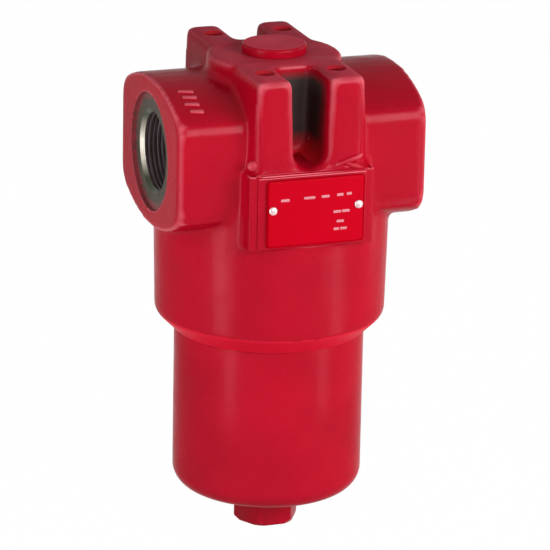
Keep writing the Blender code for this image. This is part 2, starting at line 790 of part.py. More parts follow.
def upper_cap(look):
    """The element's open end cap, whose collar slides over the spigot."""
    collar_in = SPIGOT_R + GAP
    collar_top = CAP_TOP_Z + COLLAR_HEIGHT
    groove = 2 * ELEMENT_SEAL_SECTION
    groove_z = CAP_TOP_Z + COLLAR_HEIGHT / 2
    groove_r = collar_in + groove
    disc_low = CAP_TOP_Z - CAP_THICKNESS
    half = ELEMENT_SEAL_SECTION + GAP
    profile = [
        (collar_in, collar_top),
        (COLLAR_R, collar_top),
        (COLLAR_R, CAP_TOP_Z),
        (CAP_R, CAP_TOP_Z),
        (CAP_R, disc_low - CAP_RIM),
        (CAP_R - CAP_WALL, disc_low - CAP_RIM),
        (CAP_R - CAP_WALL, disc_low),
        (collar_in, disc_low),
        (collar_in, groove_z - half),
        (groove_r, groove_z - half),
        (groove_r, groove_z + half),
        (collar_in, groove_z + half),
    ]
    turned("element_upper_cap", profile, look)


def lower_cap(look):
    """The element's closed end cap, with a locating boss for the spring."""
    disc_top = CAP_LOW_Z + CAP_THICKNESS
    boss_r = SUPPORT_SPRING_R - SUPPORT_WIRE_R - GAP
    boss_low = CAP_LOW_Z - 2 * SUPPORT_WIRE_R
    profile = [
        (0.0, disc_top),
        (CAP_R - CAP_WALL, disc_top),
        (CAP_R - CAP_WALL, disc_top + CAP_RIM),
        (CAP_R, disc_top + CAP_RIM),
        (CAP_R, CAP_LOW_Z),
        (boss_r, CAP_LOW_Z),
        (boss_r - SUPPORT_WIRE_R, boss_low),
        (0.0, boss_low),
    ]
    turned("element_lower_cap", profile, look)


def pleats(look):
    """The folded filter medium: a thin sheet in a ring of pleats."""
    low = CAP_LOW_Z + CAP_THICKNESS + GAP
    high = CAP_TOP_Z - CAP_THICKNESS - GAP
    pitch = 2 * math.pi / PLEATS
    inner_pitch = PLEAT_INNER_R * pitch
    fold = PLEAT_THICKNESS
    valley = PLEAT_INNER_R + fold
    peak = PLEAT_OUTER_R - fold
    outer_fold = PLEAT_FOLD_HALF
    slack = (inner_pitch - 2 * fold) / 4
    outer_rule = [
        (PLEAT_OUTER_R, outer_fold),
        (valley, inner_pitch / 2 - slack),
        (valley, inner_pitch / 2 + slack),
        (PLEAT_OUTER_R, -outer_fold),
    ]
    inner_rule = [
        (peak, outer_fold - fold),
        (PLEAT_INNER_R, inner_pitch / 2 - slack - fold),
        (PLEAT_INNER_R, inner_pitch / 2 + slack + fold),
        (peak, fold - outer_fold),
    ]
    shape = bmesh.new()
    rings = []
    for rule in (outer_rule, inner_rule):
        for z in (low, high):
            ring = []
            for i in range(PLEATS):
                for k, (radius, offset) in enumerate(rule):
                    turn = i + 1 if k == 3 else i
                    angle = turn * pitch + offset / radius
                    spot = (radius * math.cos(angle), radius * math.sin(angle), z)
                    ring.append(shape.verts.new(spot))
            rings.append(ring)
    outer_low, outer_high, inner_low, inner_high = rings
    count = len(outer_low)
    for i in range(count):
        j = (i + 1) % count
        shape.faces.new((outer_low[i], outer_low[j], outer_high[j], outer_high[i]))
        shape.faces.new((inner_low[j], inner_low[i], inner_high[i], inner_high[j]))
        shape.faces.new((outer_high[i], outer_high[j], inner_high[j], inner_high[i]))
        shape.faces.new((outer_low[j], outer_low[i], inner_low[i], inner_low[j]))
    finish_mesh("element_pleats", shape, look)


def windowed_tube(name, radius, wall, windows, rows, width, height, columns, look):
    """A thin tube between the end caps, with a grid of windows left out of its wall.

    columns gives the facets across one window and across the bar beside it.
    """
    low = CAP_LOW_Z + CAP_THICKNESS + GAP
    high = CAP_TOP_Z - CAP_THICKNESS - GAP
    across_window, across_bar = columns
    per_pitch = across_window + across_bar
    shape = bmesh.new()
    pitch = 2 * math.pi / windows
    opened = width / radius
    angles = []
    for i in range(windows):
        start = i * pitch - opened / 2
        angles += [start + opened * k / across_window for k in range(across_window)]
        start += opened
        angles += [start + (pitch - opened) * k / across_bar for k in range(across_bar)]
    row_pitch = (high - low) / rows
    levels = [low]
    for k in range(rows):
        middle = low + (k + 0.5) * row_pitch
        levels += [middle - height / 2, middle + height / 2]
    levels.append(high)
    grid = {}
    for side, r in enumerate((radius, radius - wall)):
        for a, angle in enumerate(angles):
            for level, z in enumerate(levels):
                spot = (r * math.cos(angle), r * math.sin(angle), z)
                grid[side, a, level] = shape.verts.new(spot)
    count = len(angles)

    def solid(a, level):
        inside = 0 <= level < len(levels) - 1
        return inside and not (a % per_pitch < across_window and level % 2 == 1)

    for a in range(count):
        b = (a + 1) % count
        for level in range(len(levels) - 1):
            if not solid(a, level):
                continue
            for side in (0, 1):
                shape.faces.new(
                    (
                        grid[side, a, level],
                        grid[side, b, level],
                        grid[side, b, level + 1],
                        grid[side, a, level + 1],
                    )
                )
            if not solid((a - 1) % count, level):
                add_wall(shape, grid, (a, level), (a, level + 1))
            if not solid(b, level):
                add_wall(shape, grid, (b, level), (b, level + 1))
            if not solid(a, level - 1):
                add_wall(shape, grid, (a, level), (b, level))
            if not solid(a, level + 1):
                add_wall(shape, grid, (a, level + 1), (b, level + 1))
    finish_mesh(name, shape, look)


def add_wall(shape, grid, first, second):
    """Joins the outer and inner skins of a tube along one edge of its grid."""
    shape.faces.new(
        (
            grid[(0, *first)],
            grid[(0, *second)],
            grid[(1, *second)],
            grid[(1, *first)],
        )
    )


def core_tube(look):
    """The perforated tube that the pleats lean on."""
    windowed_tube(
        "element_core_tube",
        CORE_R,
        CORE_WALL,
        CORE_HOLES_AROUND,
        CORE_HOLE_ROWS,
        CORE_HOLE,
        CORE_HOLE,
        (1, 3),
        look,
    )


def outer_sleeve(look):
    """The open cage around the pleats."""
    radius = CAP_R - CAP_WALL - GAP
    low = CAP_LOW_Z + CAP_THICKNESS + GAP
    high = CAP_TOP_Z - CAP_THICKNESS - GAP
    width = 2 * math.pi * radius / SLEEVE_WINDOWS - SLEEVE_BAR
    height = (high - low) / SLEEVE_WINDOW_ROWS - SLEEVE_BAR
    windowed_tube(
        "element_outer_sleeve",
        radius,
        SLEEVE_WALL,
        SLEEVE_WINDOWS,
        SLEEVE_WINDOW_ROWS,
        width,
        height,
        (2, 1),
        look,
    )


def coil(name, radius, wire_r, low, high, turns, x, look):
    """A compression spring with closed ends, as a wire swept along its helix."""
    steps = 12
    count = turns * steps
    dead = 1.0
    closed = 2 * wire_r + GAP / 3
    bottom = low + wire_r
    rise = high - low - 2 * wire_r
    open_turns = turns - 2 * dead
    points = []
    for i in range(count + 1):
        turn = i / steps
        lower = min(turn, dead) * closed
        upper = max(turn - turns + dead, 0.0) * closed
        middle = min(max(turn - dead, 0.0), open_turns)
        z = bottom + lower + upper + middle * (rise - 2 * dead * closed) / open_turns
        angle = 2 * math.pi * turn
        points.append((x + radius * math.cos(angle), radius * math.sin(angle), z))
    curve = bpy.data.curves.new(name, "CURVE")
    curve.dimensions = "3D"
    curve.bevel_depth = wire_r
    curve.bevel_resolution = 1
    curve.use_fill_caps = True
    spline = curve.splines.new("POLY")
    spline.points.add(len(points) - 1)
    for point, spot in zip(spline.points, points):
        point.co = (*spot, 1.0)
    add_object(name, curve, look)


def bypass_seat(look):
    """The valve's pressed-in seat: a sleeve with a flange, and a spider that guides the stem."""
    sleeve_r = BYPASS_HOLE_R - GAP
    seat_edge = sleeve_r - BYPASS_BORE_R
    flange_top = ROOF_Z - GAP
    low = flange_top - BYPASS_FLANGE_HEIGHT
    profile = [
        (BYPASS_BORE_R, SEAT_TOP_Z),
        (sleeve_r - seat_edge / 2, SEAT_TOP_Z),
        (sleeve_r, SEAT_TOP_Z - seat_edge / 2),
        (sleeve_r, flange_top),
        (BYPASS_FLANGE_R, flange_top),
        (BYPASS_FLANGE_R, low),
        (BYPASS_BORE_R, low),
    ]
    place = Matrix.Translation((BYPASS_X, 0.0, 0.0))
    seat = turned("bypass_seat", profile, look, FACETS_SMALL, place)
    high = SPIDER_Z + BYPASS_HUB_HEIGHT / 2
    under = SPIDER_Z - BYPASS_HUB_HEIGHT / 2
    reach = BYPASS_BORE_R + seat_edge / 2
    half = BYPASS_SPOKE / 2
    spokes = (
        ("spoke_form_x", (BYPASS_X - reach, -half, under), (BYPASS_X + reach, half, high)),
        ("spoke_form_y", (BYPASS_X - half, -reach, under), (BYPASS_X + half, reach, high)),
    )
    for name, corner_low, corner_high in spokes:
        join(seat, block(name, corner_low, corner_high))
    hub = drill("hub_form", BYPASS_HUB_R, (BYPASS_X, 0, under), (BYPASS_X, 0, high), FACETS_TINY)
    join(seat, hub)
    start = (BYPASS_X, 0, under - OVER)
    end = (BYPASS_X, 0, high + OVER)
    cut(seat, drill("stem_cut", POPPET_STEM_R + GAP, start, end, FACETS_TINY))


def bypass_poppet(look):
    """The mushroom poppet that closes the seat from the outlet side."""
    low = SEAT_TOP_Z + GAP
    top = low + POPPET_THICKNESS
    edge = SMALL_EDGE
    profile = [
        (0.0, top),
        (POPPET_R - edge, top),
        (POPPET_R, top - edge),
        (POPPET_R, low),
        (POPPET_STEM_R, low),
        (POPPET_STEM_R, STEM_LOW_Z),
        (0.0, STEM_LOW_Z),
    ]
    poppet = turned("bypass_poppet", profile, look, FACETS_SMALL)
    poppet.location = (BYPASS_X, 0.0, 0.0)


def spring_retainer(look):
    """The collar on the stem's end that the bypass spring pushes against."""
    top = SPRING_LOW_Z - GAP
    low = top - RETAINER_HEIGHT
    bore = POPPET_STEM_R + GAP
    edge = SMALL_EDGE
    profile = [
        (bore, top),
        (RETAINER_R, top),
        (RETAINER_R, low + edge),
        (RETAINER_R - edge, low),
        (bore, low),
    ]
    retainer = turned("bypass_spring_retainer", profile, look, FACETS_SMALL)
    retainer.location = (BYPASS_X, 0.0, 0.0)


def main():
    clear_scene()
    paint = material("red_paint", (0.55, 0.012, 0.022), 0.35, 0.0)
    plate_paint = material("plate_red", (0.66, 0.004, 0.020), 0.40, 0.0)
    steel = material("bright_steel", (0.62, 0.62, 0.60), 0.30, 1.0)
    zinc = material("zinc_steel", (0.66, 0.65, 0.58), 0.35, 1.0)
    spring_steel = material("spring_steel", (0.30, 0.30, 0.31), 0.35, 1.0)
    rubber = material("black_rubber", (0.02, 0.02, 0.02), 0.60, 0.0)
    backup = material("backup_plastic", (0.75, 0.74, 0.70), 0.45, 0.0)
    medium = material("filter_medium", (0.80, 0.76, 0.62), 0.80, 0.0)
    looks = {
        "filter_head": paint,
        "bowl": paint.copy(),
        "indicator_port_plug": paint.copy(),
    }
    filter_head(looks["filter_head"])
    bowl(looks["bowl"])
    port_plug(looks["indicator_port_plug"])
    seal_z = BOSS_Z + GAP + PLUG_SEAL_SECTION
    ring_seal("plug_seal_ring", PLUG_SEAL_R, PLUG_SEAL_SECTION, seal_z, rubber.copy())
    name_plate(plate_paint)
    for name, x in rivet_places():
        plate_rivet(name, x, steel.copy())
    bowl_seals(rubber.copy(), backup)
    upper_cap(zinc.copy())
    lower_cap(zinc.copy())
    collar_seal_r = SPIGOT_R + GAP + ELEMENT_SEAL_SECTION
    collar_seal_z = CAP_TOP_Z + COLLAR_HEIGHT / 2
    ring_seal("element_o_ring", collar_seal_r, ELEMENT_SEAL_SECTION - GAP / 2, collar_seal_z, rubber)
    core_tube(steel.copy())
    pleats(medium)
    outer_sleeve(zinc)
    coil(
        "element_spring",
        SUPPORT_SPRING_R,
        SUPPORT_WIRE_R,
        BOWL_FLOOR_Z + GAP,
        CAP_LOW_Z - GAP,
        SUPPORT_TURNS,
        0.0,
        spring_steel.copy(),
    )
    bypass_seat(steel.copy())
    bypass_poppet(steel.copy())
    spring_retainer(steel)
    coil(
        "bypass_spring",
        BYPASS_SPRING_R,
        BYPASS_WIRE_R,
        SPRING_LOW_Z,
        SPRING_TOP_Z,
        BYPASS_TURNS,
        BYPASS_X,
        spring_steel,
    )


main()
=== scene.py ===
# %% [markdown]
# # Dressing a hydraulic pressure filter
#
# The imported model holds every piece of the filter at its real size. This script
# gives those pieces their looks: a cast and painted head, turned and threaded
# steel, rubber, springs and pleated filter medium. It never moves or resizes a
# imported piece. Where a piece needs a finer surface, it is modelled again in the
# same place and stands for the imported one.

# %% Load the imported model
import math

import bmesh
import bpy
from mathutils import Matrix, Vector


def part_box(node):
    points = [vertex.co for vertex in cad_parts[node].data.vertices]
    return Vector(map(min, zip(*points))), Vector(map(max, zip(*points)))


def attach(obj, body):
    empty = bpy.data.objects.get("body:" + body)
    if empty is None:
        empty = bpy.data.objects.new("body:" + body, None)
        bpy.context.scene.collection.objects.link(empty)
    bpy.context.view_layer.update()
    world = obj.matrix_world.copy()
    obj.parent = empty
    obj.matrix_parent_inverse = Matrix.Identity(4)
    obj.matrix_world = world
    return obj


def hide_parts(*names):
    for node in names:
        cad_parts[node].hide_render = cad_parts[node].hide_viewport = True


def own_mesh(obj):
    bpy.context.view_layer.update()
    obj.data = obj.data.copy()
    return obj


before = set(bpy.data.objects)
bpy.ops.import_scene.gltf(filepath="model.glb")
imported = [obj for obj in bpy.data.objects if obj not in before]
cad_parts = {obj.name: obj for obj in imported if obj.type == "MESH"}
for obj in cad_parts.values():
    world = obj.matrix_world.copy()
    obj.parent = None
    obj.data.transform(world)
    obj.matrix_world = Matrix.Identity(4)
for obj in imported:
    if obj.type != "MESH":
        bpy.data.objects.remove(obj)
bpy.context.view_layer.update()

print("nodes:", len(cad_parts))

# %% [markdown]
# ## Places that everything hangs on
#
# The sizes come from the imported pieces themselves. A box around the head gives the
# port faces, the tower's top and the lip of the skirt. The ports' axis lies a known
# distance below the tower's top, and most heights are counted from that axis.

# %% Read the main places from the frame
MM = 0.001
GAP = 0.3 * MM
TOWER_RISE = 47.6 * MM
head_low, head_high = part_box("filter_head")
bowl_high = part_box("bowl")[1]
PORT_FACE = head_high.x
TOP_Z = head_high.z
LIP_Z = head_low.z
PORT_Z = TOP_Z - TOWER_RISE
BOWL_R = bowl_high.x
RIM_Z = bowl_high.z
print("port axis at", round(PORT_Z, 4), "and lip at", round(LIP_Z, 4))

# %% [markdown]
# ## The camera
#
# A photograph taken from far away with a long lens has almost parallel edges. The
# view was worked out from the picture: the ring around the left port gives the
# turn, and the curve of the skirt's lip gives the tilt. The camera looks along one
# direction, and its place is found by stepping back from the port axis.

# %% Place the camera
AZIMUTH = math.radians(19.6)
ELEVATION = math.radians(18.1)
ROLL = math.radians(-1.15)
DISTANCE = 2.016  # metres from the middle of the port axis
PICTURE = 550  # pixels across
FOCAL = 4000  # pixels
AXIS_PIXEL = Vector((272.33, 141.65))  # where the middle of the port axis shows
SENSOR = 36.0  # millimetres


def camera_axes():
    """The camera's right, up and viewing directions."""
    ahead = Vector((
        math.sin(AZIMUTH) * math.cos(ELEVATION),
        math.cos(AZIMUTH) * math.cos(ELEVATION),
        -math.sin(ELEVATION),
    ))
    level = Vector((math.cos(AZIMUTH), -math.sin(AZIMUTH), 0.0))
    above = level.cross(ahead)
    right = level * math.cos(ROLL) - above * math.sin(ROLL)
    up = above * math.cos(ROLL) + level * math.sin(ROLL)
    return right, up, ahead


right, up, ahead = camera_axes()
across = (AXIS_PIXEL.x - PICTURE / 2) * DISTANCE / FOCAL
above = (PICTURE / 2 - AXIS_PIXEL.y) * DISTANCE / FOCAL
eye = Vector((0.0, 0.0, PORT_Z)) - right * across - up * above - ahead * DISTANCE
turn = Matrix((right, up, -ahead)).transposed()
bpy.ops.object.camera_add(location=eye, rotation=turn.to_euler())
camera = bpy.context.object
camera.data.sensor_width = SENSOR
camera.data.lens = SENSOR * FOCAL / PICTURE
bpy.context.scene.camera = camera
print("camera at", [round(value, 3) for value in eye])

# %% [markdown]
# ## A few habits of the workshop
#
# Blender's operators act on whatever is selected, so each step starts by selecting
# only what it needs. A finished piece has its place in its own mesh, its doubled
# points merged and its faces turned outwards.

# %% Selecting
def deselect():
    """Goes back to object mode with nothing selected."""
    if bpy.context.object and bpy.context.object.mode != "OBJECT":
        bpy.ops.object.mode_set(mode="OBJECT")
    bpy.ops.object.select_all(action="DESELECT")


def pick(*pieces):
    """Selects these pieces alone, with the first one active."""
    deselect()
    for piece in pieces:
        piece.select_set(True)
    bpy.context.view_layer.objects.active = pieces[0]


def edit(piece):
    """Opens a piece in edit mode with all of it selected."""
    pick(piece)
    bpy.ops.object.mode_set(mode="EDIT")
    bpy.ops.mesh.select_all(action="SELECT")


# %% Settling, applying and smoothing
def tidy_faces(piece):
    """Merges doubled points and turns every face outwards."""
    edit(piece)
    bpy.ops.mesh.remove_doubles(threshold=1e-6)
    bpy.ops.mesh.normals_make_consistent(inside=False)
    bpy.ops.object.mode_set(mode="OBJECT")


def settle(piece):
    """Moves a piece's place into its mesh, so that its object sits at the origin."""
    pick(piece)
    bpy.ops.object.transform_apply(location=True, rotation=True, scale=True)


def apply_all(piece):
    """Applies a piece's modifiers in order."""
    pick(piece)
    for step in list(piece.modifiers):
        bpy.ops.object.modifier_apply(modifier=step.name)


def smooth(piece, degrees):
    """Shades round sides smooth and leaves sharp edges sharp."""
    pick(piece)
    bpy.ops.object.shade_smooth_by_angle(angle=math.radians(degrees))


def triangles(piece):
    """The number of triangles in a piece."""
    piece.data.calc_loop_triangles()
    return len(piece.data.loop_triangles)


print("hand tools ready")

# %% [markdown]
# ## Turning
#
# A round piece could be stacked from cylinders and cones. A lathe works from one
# outline instead, and so does this: half of the section is drawn point by point, by
# pushing one vertex along, and then spun about the axis. So every groove, step and
# rounded corner of a piece is a point or an arc on one line.

# %% Drawing an outline
def arc(centre, radius, start, end, steps):
    """Points along an arc of (radius, height) places, angles in degrees."""
    points = []
    for i in range(steps + 1):
        angle = math.radians(start + (end - start) * i / steps)
        point = (centre[0] + radius * math.cos(angle), centre[1] + radius * math.sin(angle))
        points.append(point)
    return points


def draw_outline(name, outline):
    """Draws a closed line of (radius, height) points by extruding one vertex."""
    deselect()
    bpy.ops.mesh.primitive_plane_add(size=MM)
    piece = bpy.context.object
    piece.name = name
    piece.data.name = name
    bpy.ops.object.mode_set(mode="EDIT")
    bpy.ops.mesh.select_all(action="SELECT")
    bpy.ops.mesh.merge(type="CENTER")
    here = Vector((0.0, 0.0, 0.0))
    for i, (radius, height) in enumerate([*outline, outline[0]]):
        there = Vector((radius, 0.0, height))
        if i == 0:
            bpy.ops.transform.translate(value=there)
        else:
            bpy.ops.mesh.extrude_region_move(TRANSFORM_OT_translate={"value": there - here})
        here = there
    bpy.ops.mesh.select_all(action="SELECT")
    bpy.ops.mesh.remove_doubles(threshold=1e-7)
    return piece


# %% Spinning an outline
TURN_STEPS = 128


def turned(name, outline, steps=TURN_STEPS):
    """A solid of revolution about +Z, from half of its section."""
    piece = draw_outline(name, outline)
    bpy.ops.mesh.select_all(action="SELECT")
    bpy.ops.mesh.spin(steps=steps, angle=math.tau, center=(0, 0, 0), axis=(0, 0, 1))
    bpy.ops.object.mode_set(mode="OBJECT")
    tidy_faces(piece)
    return piece


def along_x(piece, z, side=1):
    """Lays a turned piece down so that its own +Z points along X, to one side."""
    piece.rotation_euler = (0.0, side * math.pi / 2, 0.0)
    piece.location = (0.0, 0.0, z)
    settle(piece)
    return piece


print("lathe ready, with", TURN_STEPS, "steps a turn")

# %% [markdown]
# ## Finishes
#
# Every finish starts from one shader and the piece's own coordinates, so a pattern
# stays on its piece when the piece moves. A few small helpers add a noise, a range,
# a sum, a mix or a bump. Each finish below is then only a few lines long.

# %% Starting and copying a material
def new_material(name):
    """A node material with its Principled shader and a set of object coordinates."""
    made = bpy.data.materials.new(name)
    made.use_nodes = True
    nodes = made.node_tree.nodes
    shader = nodes["Principled BSDF"]
    place = nodes.new("ShaderNodeTexCoord")
    return made, shader, place.outputs["Object"]


def material_copy(source, name):
    """A copy of a material, with its shader, its colour's output and its coordinates."""
    made = source.copy()
    made.name = name
    shader = made.node_tree.nodes["Principled BSDF"]
    colour = shader.inputs["Base Color"].links[0].from_socket
    return made, shader, colour, made.node_tree.nodes["Texture Coordinate"].outputs["Object"]


# %% Noises, ranges and sums
def add_noise(made, place, scale, detail=2.0, stretch=None):
    """A noise pattern on the piece, whose scale is in features a metre."""
    tree = made.node_tree
    if stretch:
        mapping = tree.nodes.new("ShaderNodeMapping")
        mapping.inputs["Scale"].default_value = stretch
        tree.links.new(place, mapping.inputs["Vector"])
        place = mapping.outputs["Vector"]
    noise = tree.nodes.new("ShaderNodeTexNoise")
    noise.inputs["Scale"].default_value = scale
    noise.inputs["Detail"].default_value = detail
    tree.links.new(place, noise.inputs["Vector"])
    return noise.outputs["Fac"]


def add_range(made, value, low, high, from_low=0.35, from_high=0.65):
    """Spreads a noise's middle values, or those between two limits, over a range."""
    tree = made.node_tree
    spread = tree.nodes.new("ShaderNodeMapRange")
    spread.inputs["From Min"].default_value = from_low
    spread.inputs["From Max"].default_value = from_high
    spread.inputs["To Min"].default_value = low
    spread.inputs["To Max"].default_value = high
    tree.links.new(value, spread.inputs["Value"])
    return spread.outputs["Result"]


def add_math(tree, operation, first, second=None):
    """A sum of one or two outputs."""
    node = tree.nodes.new("ShaderNodeMath")
    node.operation = operation
    tree.links.new(first, node.inputs[0])
    if second:
        tree.links.new(second, node.inputs[1])
    return node.outputs[0]


def add_axes(made, place):
    """The separate X, Y and Z of a place."""
    split = made.node_tree.nodes.new("ShaderNodeSeparateXYZ")
    made.node_tree.links.new(place, split.inputs[0])
    return split.outputs


# %% Mixes and bumps
def add_mix(made, share, first, second):
    """Mixes two colours, each either a tuple or another node's output."""
    tree = made.node_tree
    mix = tree.nodes.new("ShaderNodeMix")
    mix.data_type = "RGBA"
    tree.links.new(share, mix.inputs["Factor"])
    for socket, colour in ((mix.inputs["A"], first), (mix.inputs["B"], second)):
        if isinstance(colour, tuple):
            socket.default_value = (*colour, 1.0)
        else:
            tree.links.new(colour, socket)
    return mix.outputs["Result"]


def add_bump(made, shader, height, depth, under=None):
    """Bump of a depth in metres, over another bump where one is given."""
    tree = made.node_tree
    bump = tree.nodes.new("ShaderNodeBump")
    bump.inputs["Distance"].default_value = depth
    bump.inputs["Strength"].default_value = 1.0
    tree.links.new(height, bump.inputs["Height"])
    if under:
        tree.links.new(under, bump.inputs["Normal"])
    tree.links.new(bump.outputs["Normal"], shader.inputs["Normal"])
    return bump.outputs["Normal"]


print("material helpers ready")

# %% [markdown]
# ## The enamel
#
# The head and bowl wear one thick coat of gloss enamel. On a casting the coat
# follows the sand grain underneath as a soft waviness, and on the turned bowl only
# the spray's orange peel shows. Both come from noise in a bump node, at two
# scales. A slow third noise shifts the red a little, because no coat is even.
#
# Plain gloss mirrors the white studio at a glancing angle, which would make the
# sides pale, while this enamel stays deep red up to its outline. So its shine is
# set very low, and the tint of the shine far above one, which keeps the lamps'
# highlights. Enamel also runs thin over outside edges, and Pointiness finds those.
# They get a paler colour, partly for that thin coat and partly as a painted highlight.

# %% Mix the enamel
SHINE = 0.012
SHINE_TINT = (16.0, 9.0, 10.0, 1.0)
CLOUD_SCALE, WEAR_SCALE, PEEL_SCALE, GRAIN_SCALE = 26.0, 70.0, 700.0, 160.0
PEEL_DEPTH = 0.00003
ROUGHNESS_SPREAD = 0.10


def paint(name, bright, deep, roughness, grain_depth):
    """Gloss enamel, over a casting where grain_depth is more than nothing."""
    made, shader, place = new_material(name)
    link = made.node_tree.links.new
    shader.inputs["Specular IOR Level"].default_value = SHINE
    shader.inputs["Specular Tint"].default_value = SHINE_TINT
    cloud = add_range(made, add_noise(made, place, CLOUD_SCALE, 3.0), 0.0, 1.0)
    link(add_mix(made, cloud, deep, bright), shader.inputs["Base Color"])
    worn = add_noise(made, place, WEAR_SCALE, 4.0)
    rough = add_range(made, worn, roughness, roughness + ROUGHNESS_SPREAD)
    link(rough, shader.inputs["Roughness"])
    peel = add_bump(made, shader, add_noise(made, place, PEEL_SCALE), PEEL_DEPTH)
    if grain_depth:
        grain = add_noise(made, place, GRAIN_SCALE, 3.0)
        add_bump(made, shader, grain, grain_depth, under=peel)
    return made


def thin_coat_and_painted_highlight_edges(made, tint, low, high):
    """Pales the outside edges of a casting: thin enamel there, and a painted highlight."""
    tree = made.node_tree
    shader = tree.nodes["Principled BSDF"]
    coat = shader.inputs["Base Color"].links[0].from_socket
    shape = tree.nodes.new("ShaderNodeNewGeometry")
    edge = add_range(made, shape.outputs["Pointiness"], 0.0, 1.0, low, high)
    tree.links.new(add_mix(made, edge, coat, tint), shader.inputs["Base Color"])


# %% Paint pots
RED = (0.52, 0.003, 0.020)
DEEP_RED = (0.45, 0.002, 0.016)
EDGE_THIN_COAT_AND_HIGHLIGHT = (1.0, 0.21, 0.27)
EDGE_START, EDGE_FULL = 0.515, 0.566
PLATE_SHINE = 0.004

cast_paint = paint("cast_paint", RED, DEEP_RED, 0.20, 0.00012)
pad_paint = cast_paint.copy()
pad_paint.name = "pad_paint"
# The cast paint gets pale edges, part thin coat and part painted highlight; the pad's copy above
# has none.
thin_coat_and_painted_highlight_edges(cast_paint, EDGE_THIN_COAT_AND_HIGHLIGHT, EDGE_START, EDGE_FULL)
bowl_paint = paint("bowl_paint", RED, DEEP_RED, 0.20, 0.0)
# The milled tops: a duller coat, with a paler, greyer red as a painted reflection.
dull_top_and_painted_sheen = paint("dull_top_and_painted_sheen", (0.76, 0.054, 0.094), (0.54, 0.038, 0.068), 0.46, 0.00010)
# The plug's flat top gets a lighter red: painted light.
plug_top_painted_light = paint("plug_top_painted_light", (0.98, 0.072, 0.122), (0.72, 0.050, 0.090), 0.46, 0.00010)
plate_paint = paint("plate_red", (0.61, 0.0, 0.013), (0.57, 0.0, 0.010), 0.42, 0.0)
# The chamfer under the lip gets a brighter red: painted light from the floor.
lip_painted_floor_light = paint("lip_painted_floor_light", (0.80, 0.010, 0.038), (0.72, 0.008, 0.032), 0.34, 0.0)
plate_shader = plate_paint.node_tree.nodes["Principled BSDF"]
plate_shader.inputs["Specular IOR Level"].default_value = PLATE_SHINE
hole_paint = paint("hole_paint", (0.60, 0.020, 0.034), (0.46, 0.014, 0.024), 0.45, 0.0)
field_paint = paint("field_paint", (0.80, 0.33, 0.38), (0.70, 0.22, 0.28), 0.45, 0.0)
print("paints made")

# %% [markdown]
# ## Bare metal, rubber and filter medium
#
# A lathe tool leaves fine feed marks, rings that follow each other along the
# piece's axis. A noise that is squeezed along that axis draws them, and drives both
# the roughness and a faint bump. Rubber, plastic and the pleated medium have no
# such direction, and get an even grain.

# %% Bare metals
FEED_PITCH = 0.0004
FEED_DEPTH = 0.00002
AROUND_SCALE = 12.0
TONE_SCALE = 55.0
METAL_DIM = 0.72
METAL_SPREAD = 0.14


def turned_metal(name, colour, roughness, axis=2):
    """Machined metal, with the fine feed marks that a lathe tool leaves along its axis."""
    made, shader, place = new_material(name)
    link = made.node_tree.links.new
    shader.inputs["Metallic"].default_value = 1.0
    stretch = [AROUND_SCALE] * 3
    stretch[axis] = 1.0 / FEED_PITCH
    marks = add_noise(made, place, 1.0, 2.0, stretch)
    tone = add_range(made, add_noise(made, place, TONE_SCALE, 3.0), 0.0, 1.0)
    dim = tuple(channel * METAL_DIM for channel in colour)
    link(add_mix(made, tone, dim, colour), shader.inputs["Base Color"])
    link(add_range(made, marks, roughness, roughness + METAL_SPREAD), shader.inputs["Roughness"])
    add_bump(made, shader, marks, FEED_DEPTH)
    return made


bare_iron = turned_metal("bare_iron", (0.16, 0.15, 0.14), 0.38)
bore_iron = turned_metal("bore_iron", (0.26, 0.205, 0.215), 0.40, axis=0)
ring_iron = turned_metal("ring_iron", (0.085, 0.070, 0.050), 0.52, axis=1)
bright_steel = turned_metal("bright_steel", (0.62, 0.61, 0.58), 0.26)
rivet_steel = turned_metal("rivet_steel", (0.92, 0.66, 0.67), 0.26)
sink_steel = turned_metal("sink_steel", (0.52, 0.48, 0.41), 0.26, axis=0)
zinc_steel = turned_metal("zinc_steel", (0.60, 0.59, 0.50), 0.30)
spring_steel = turned_metal("spring_steel", (0.20, 0.20, 0.21), 0.30)
print("metals made")


# %% Rubber, plastic and filter medium
def soft_finish(name, colour, roughness, scale, depth):
    """A non-metal with a fine grain."""
    made, shader, place = new_material(name)
    link = made.node_tree.links.new
    tone = add_range(made, add_noise(made, place, scale / 6, 3.0), 0.0, 1.0)
    dim = tuple(channel * 0.78 for channel in colour)
    link(add_mix(made, tone, dim, colour), shader.inputs["Base Color"])
    shader.inputs["Roughness"].default_value = roughness
    add_bump(made, shader, add_noise(made, place, scale), depth)
    return made


black_rubber = soft_finish("black_rubber", (0.018, 0.018, 0.019), 0.48, 900.0, 0.00002)
backup_plastic = soft_finish("backup_plastic", (0.72, 0.70, 0.64), 0.42, 500.0, 0.00001)
medium = soft_finish("filter_medium", (0.78, 0.73, 0.58), 0.85, 1500.0, 0.00006)
print("soft finishes made")

# %% [markdown]
# ## The casting
#
# The head is one iron casting. Its moulded outside is soft: every corner is
# rounded and every inside corner has a fillet, while the bores that a machine cut
# afterwards are crisp. So it is made in the same order as the real one. First the
# packed head is copied and its bores are stopped up. Then a voxel remesh and a
# smoothing pass turn it into a raw casting, and the bores are cut again.

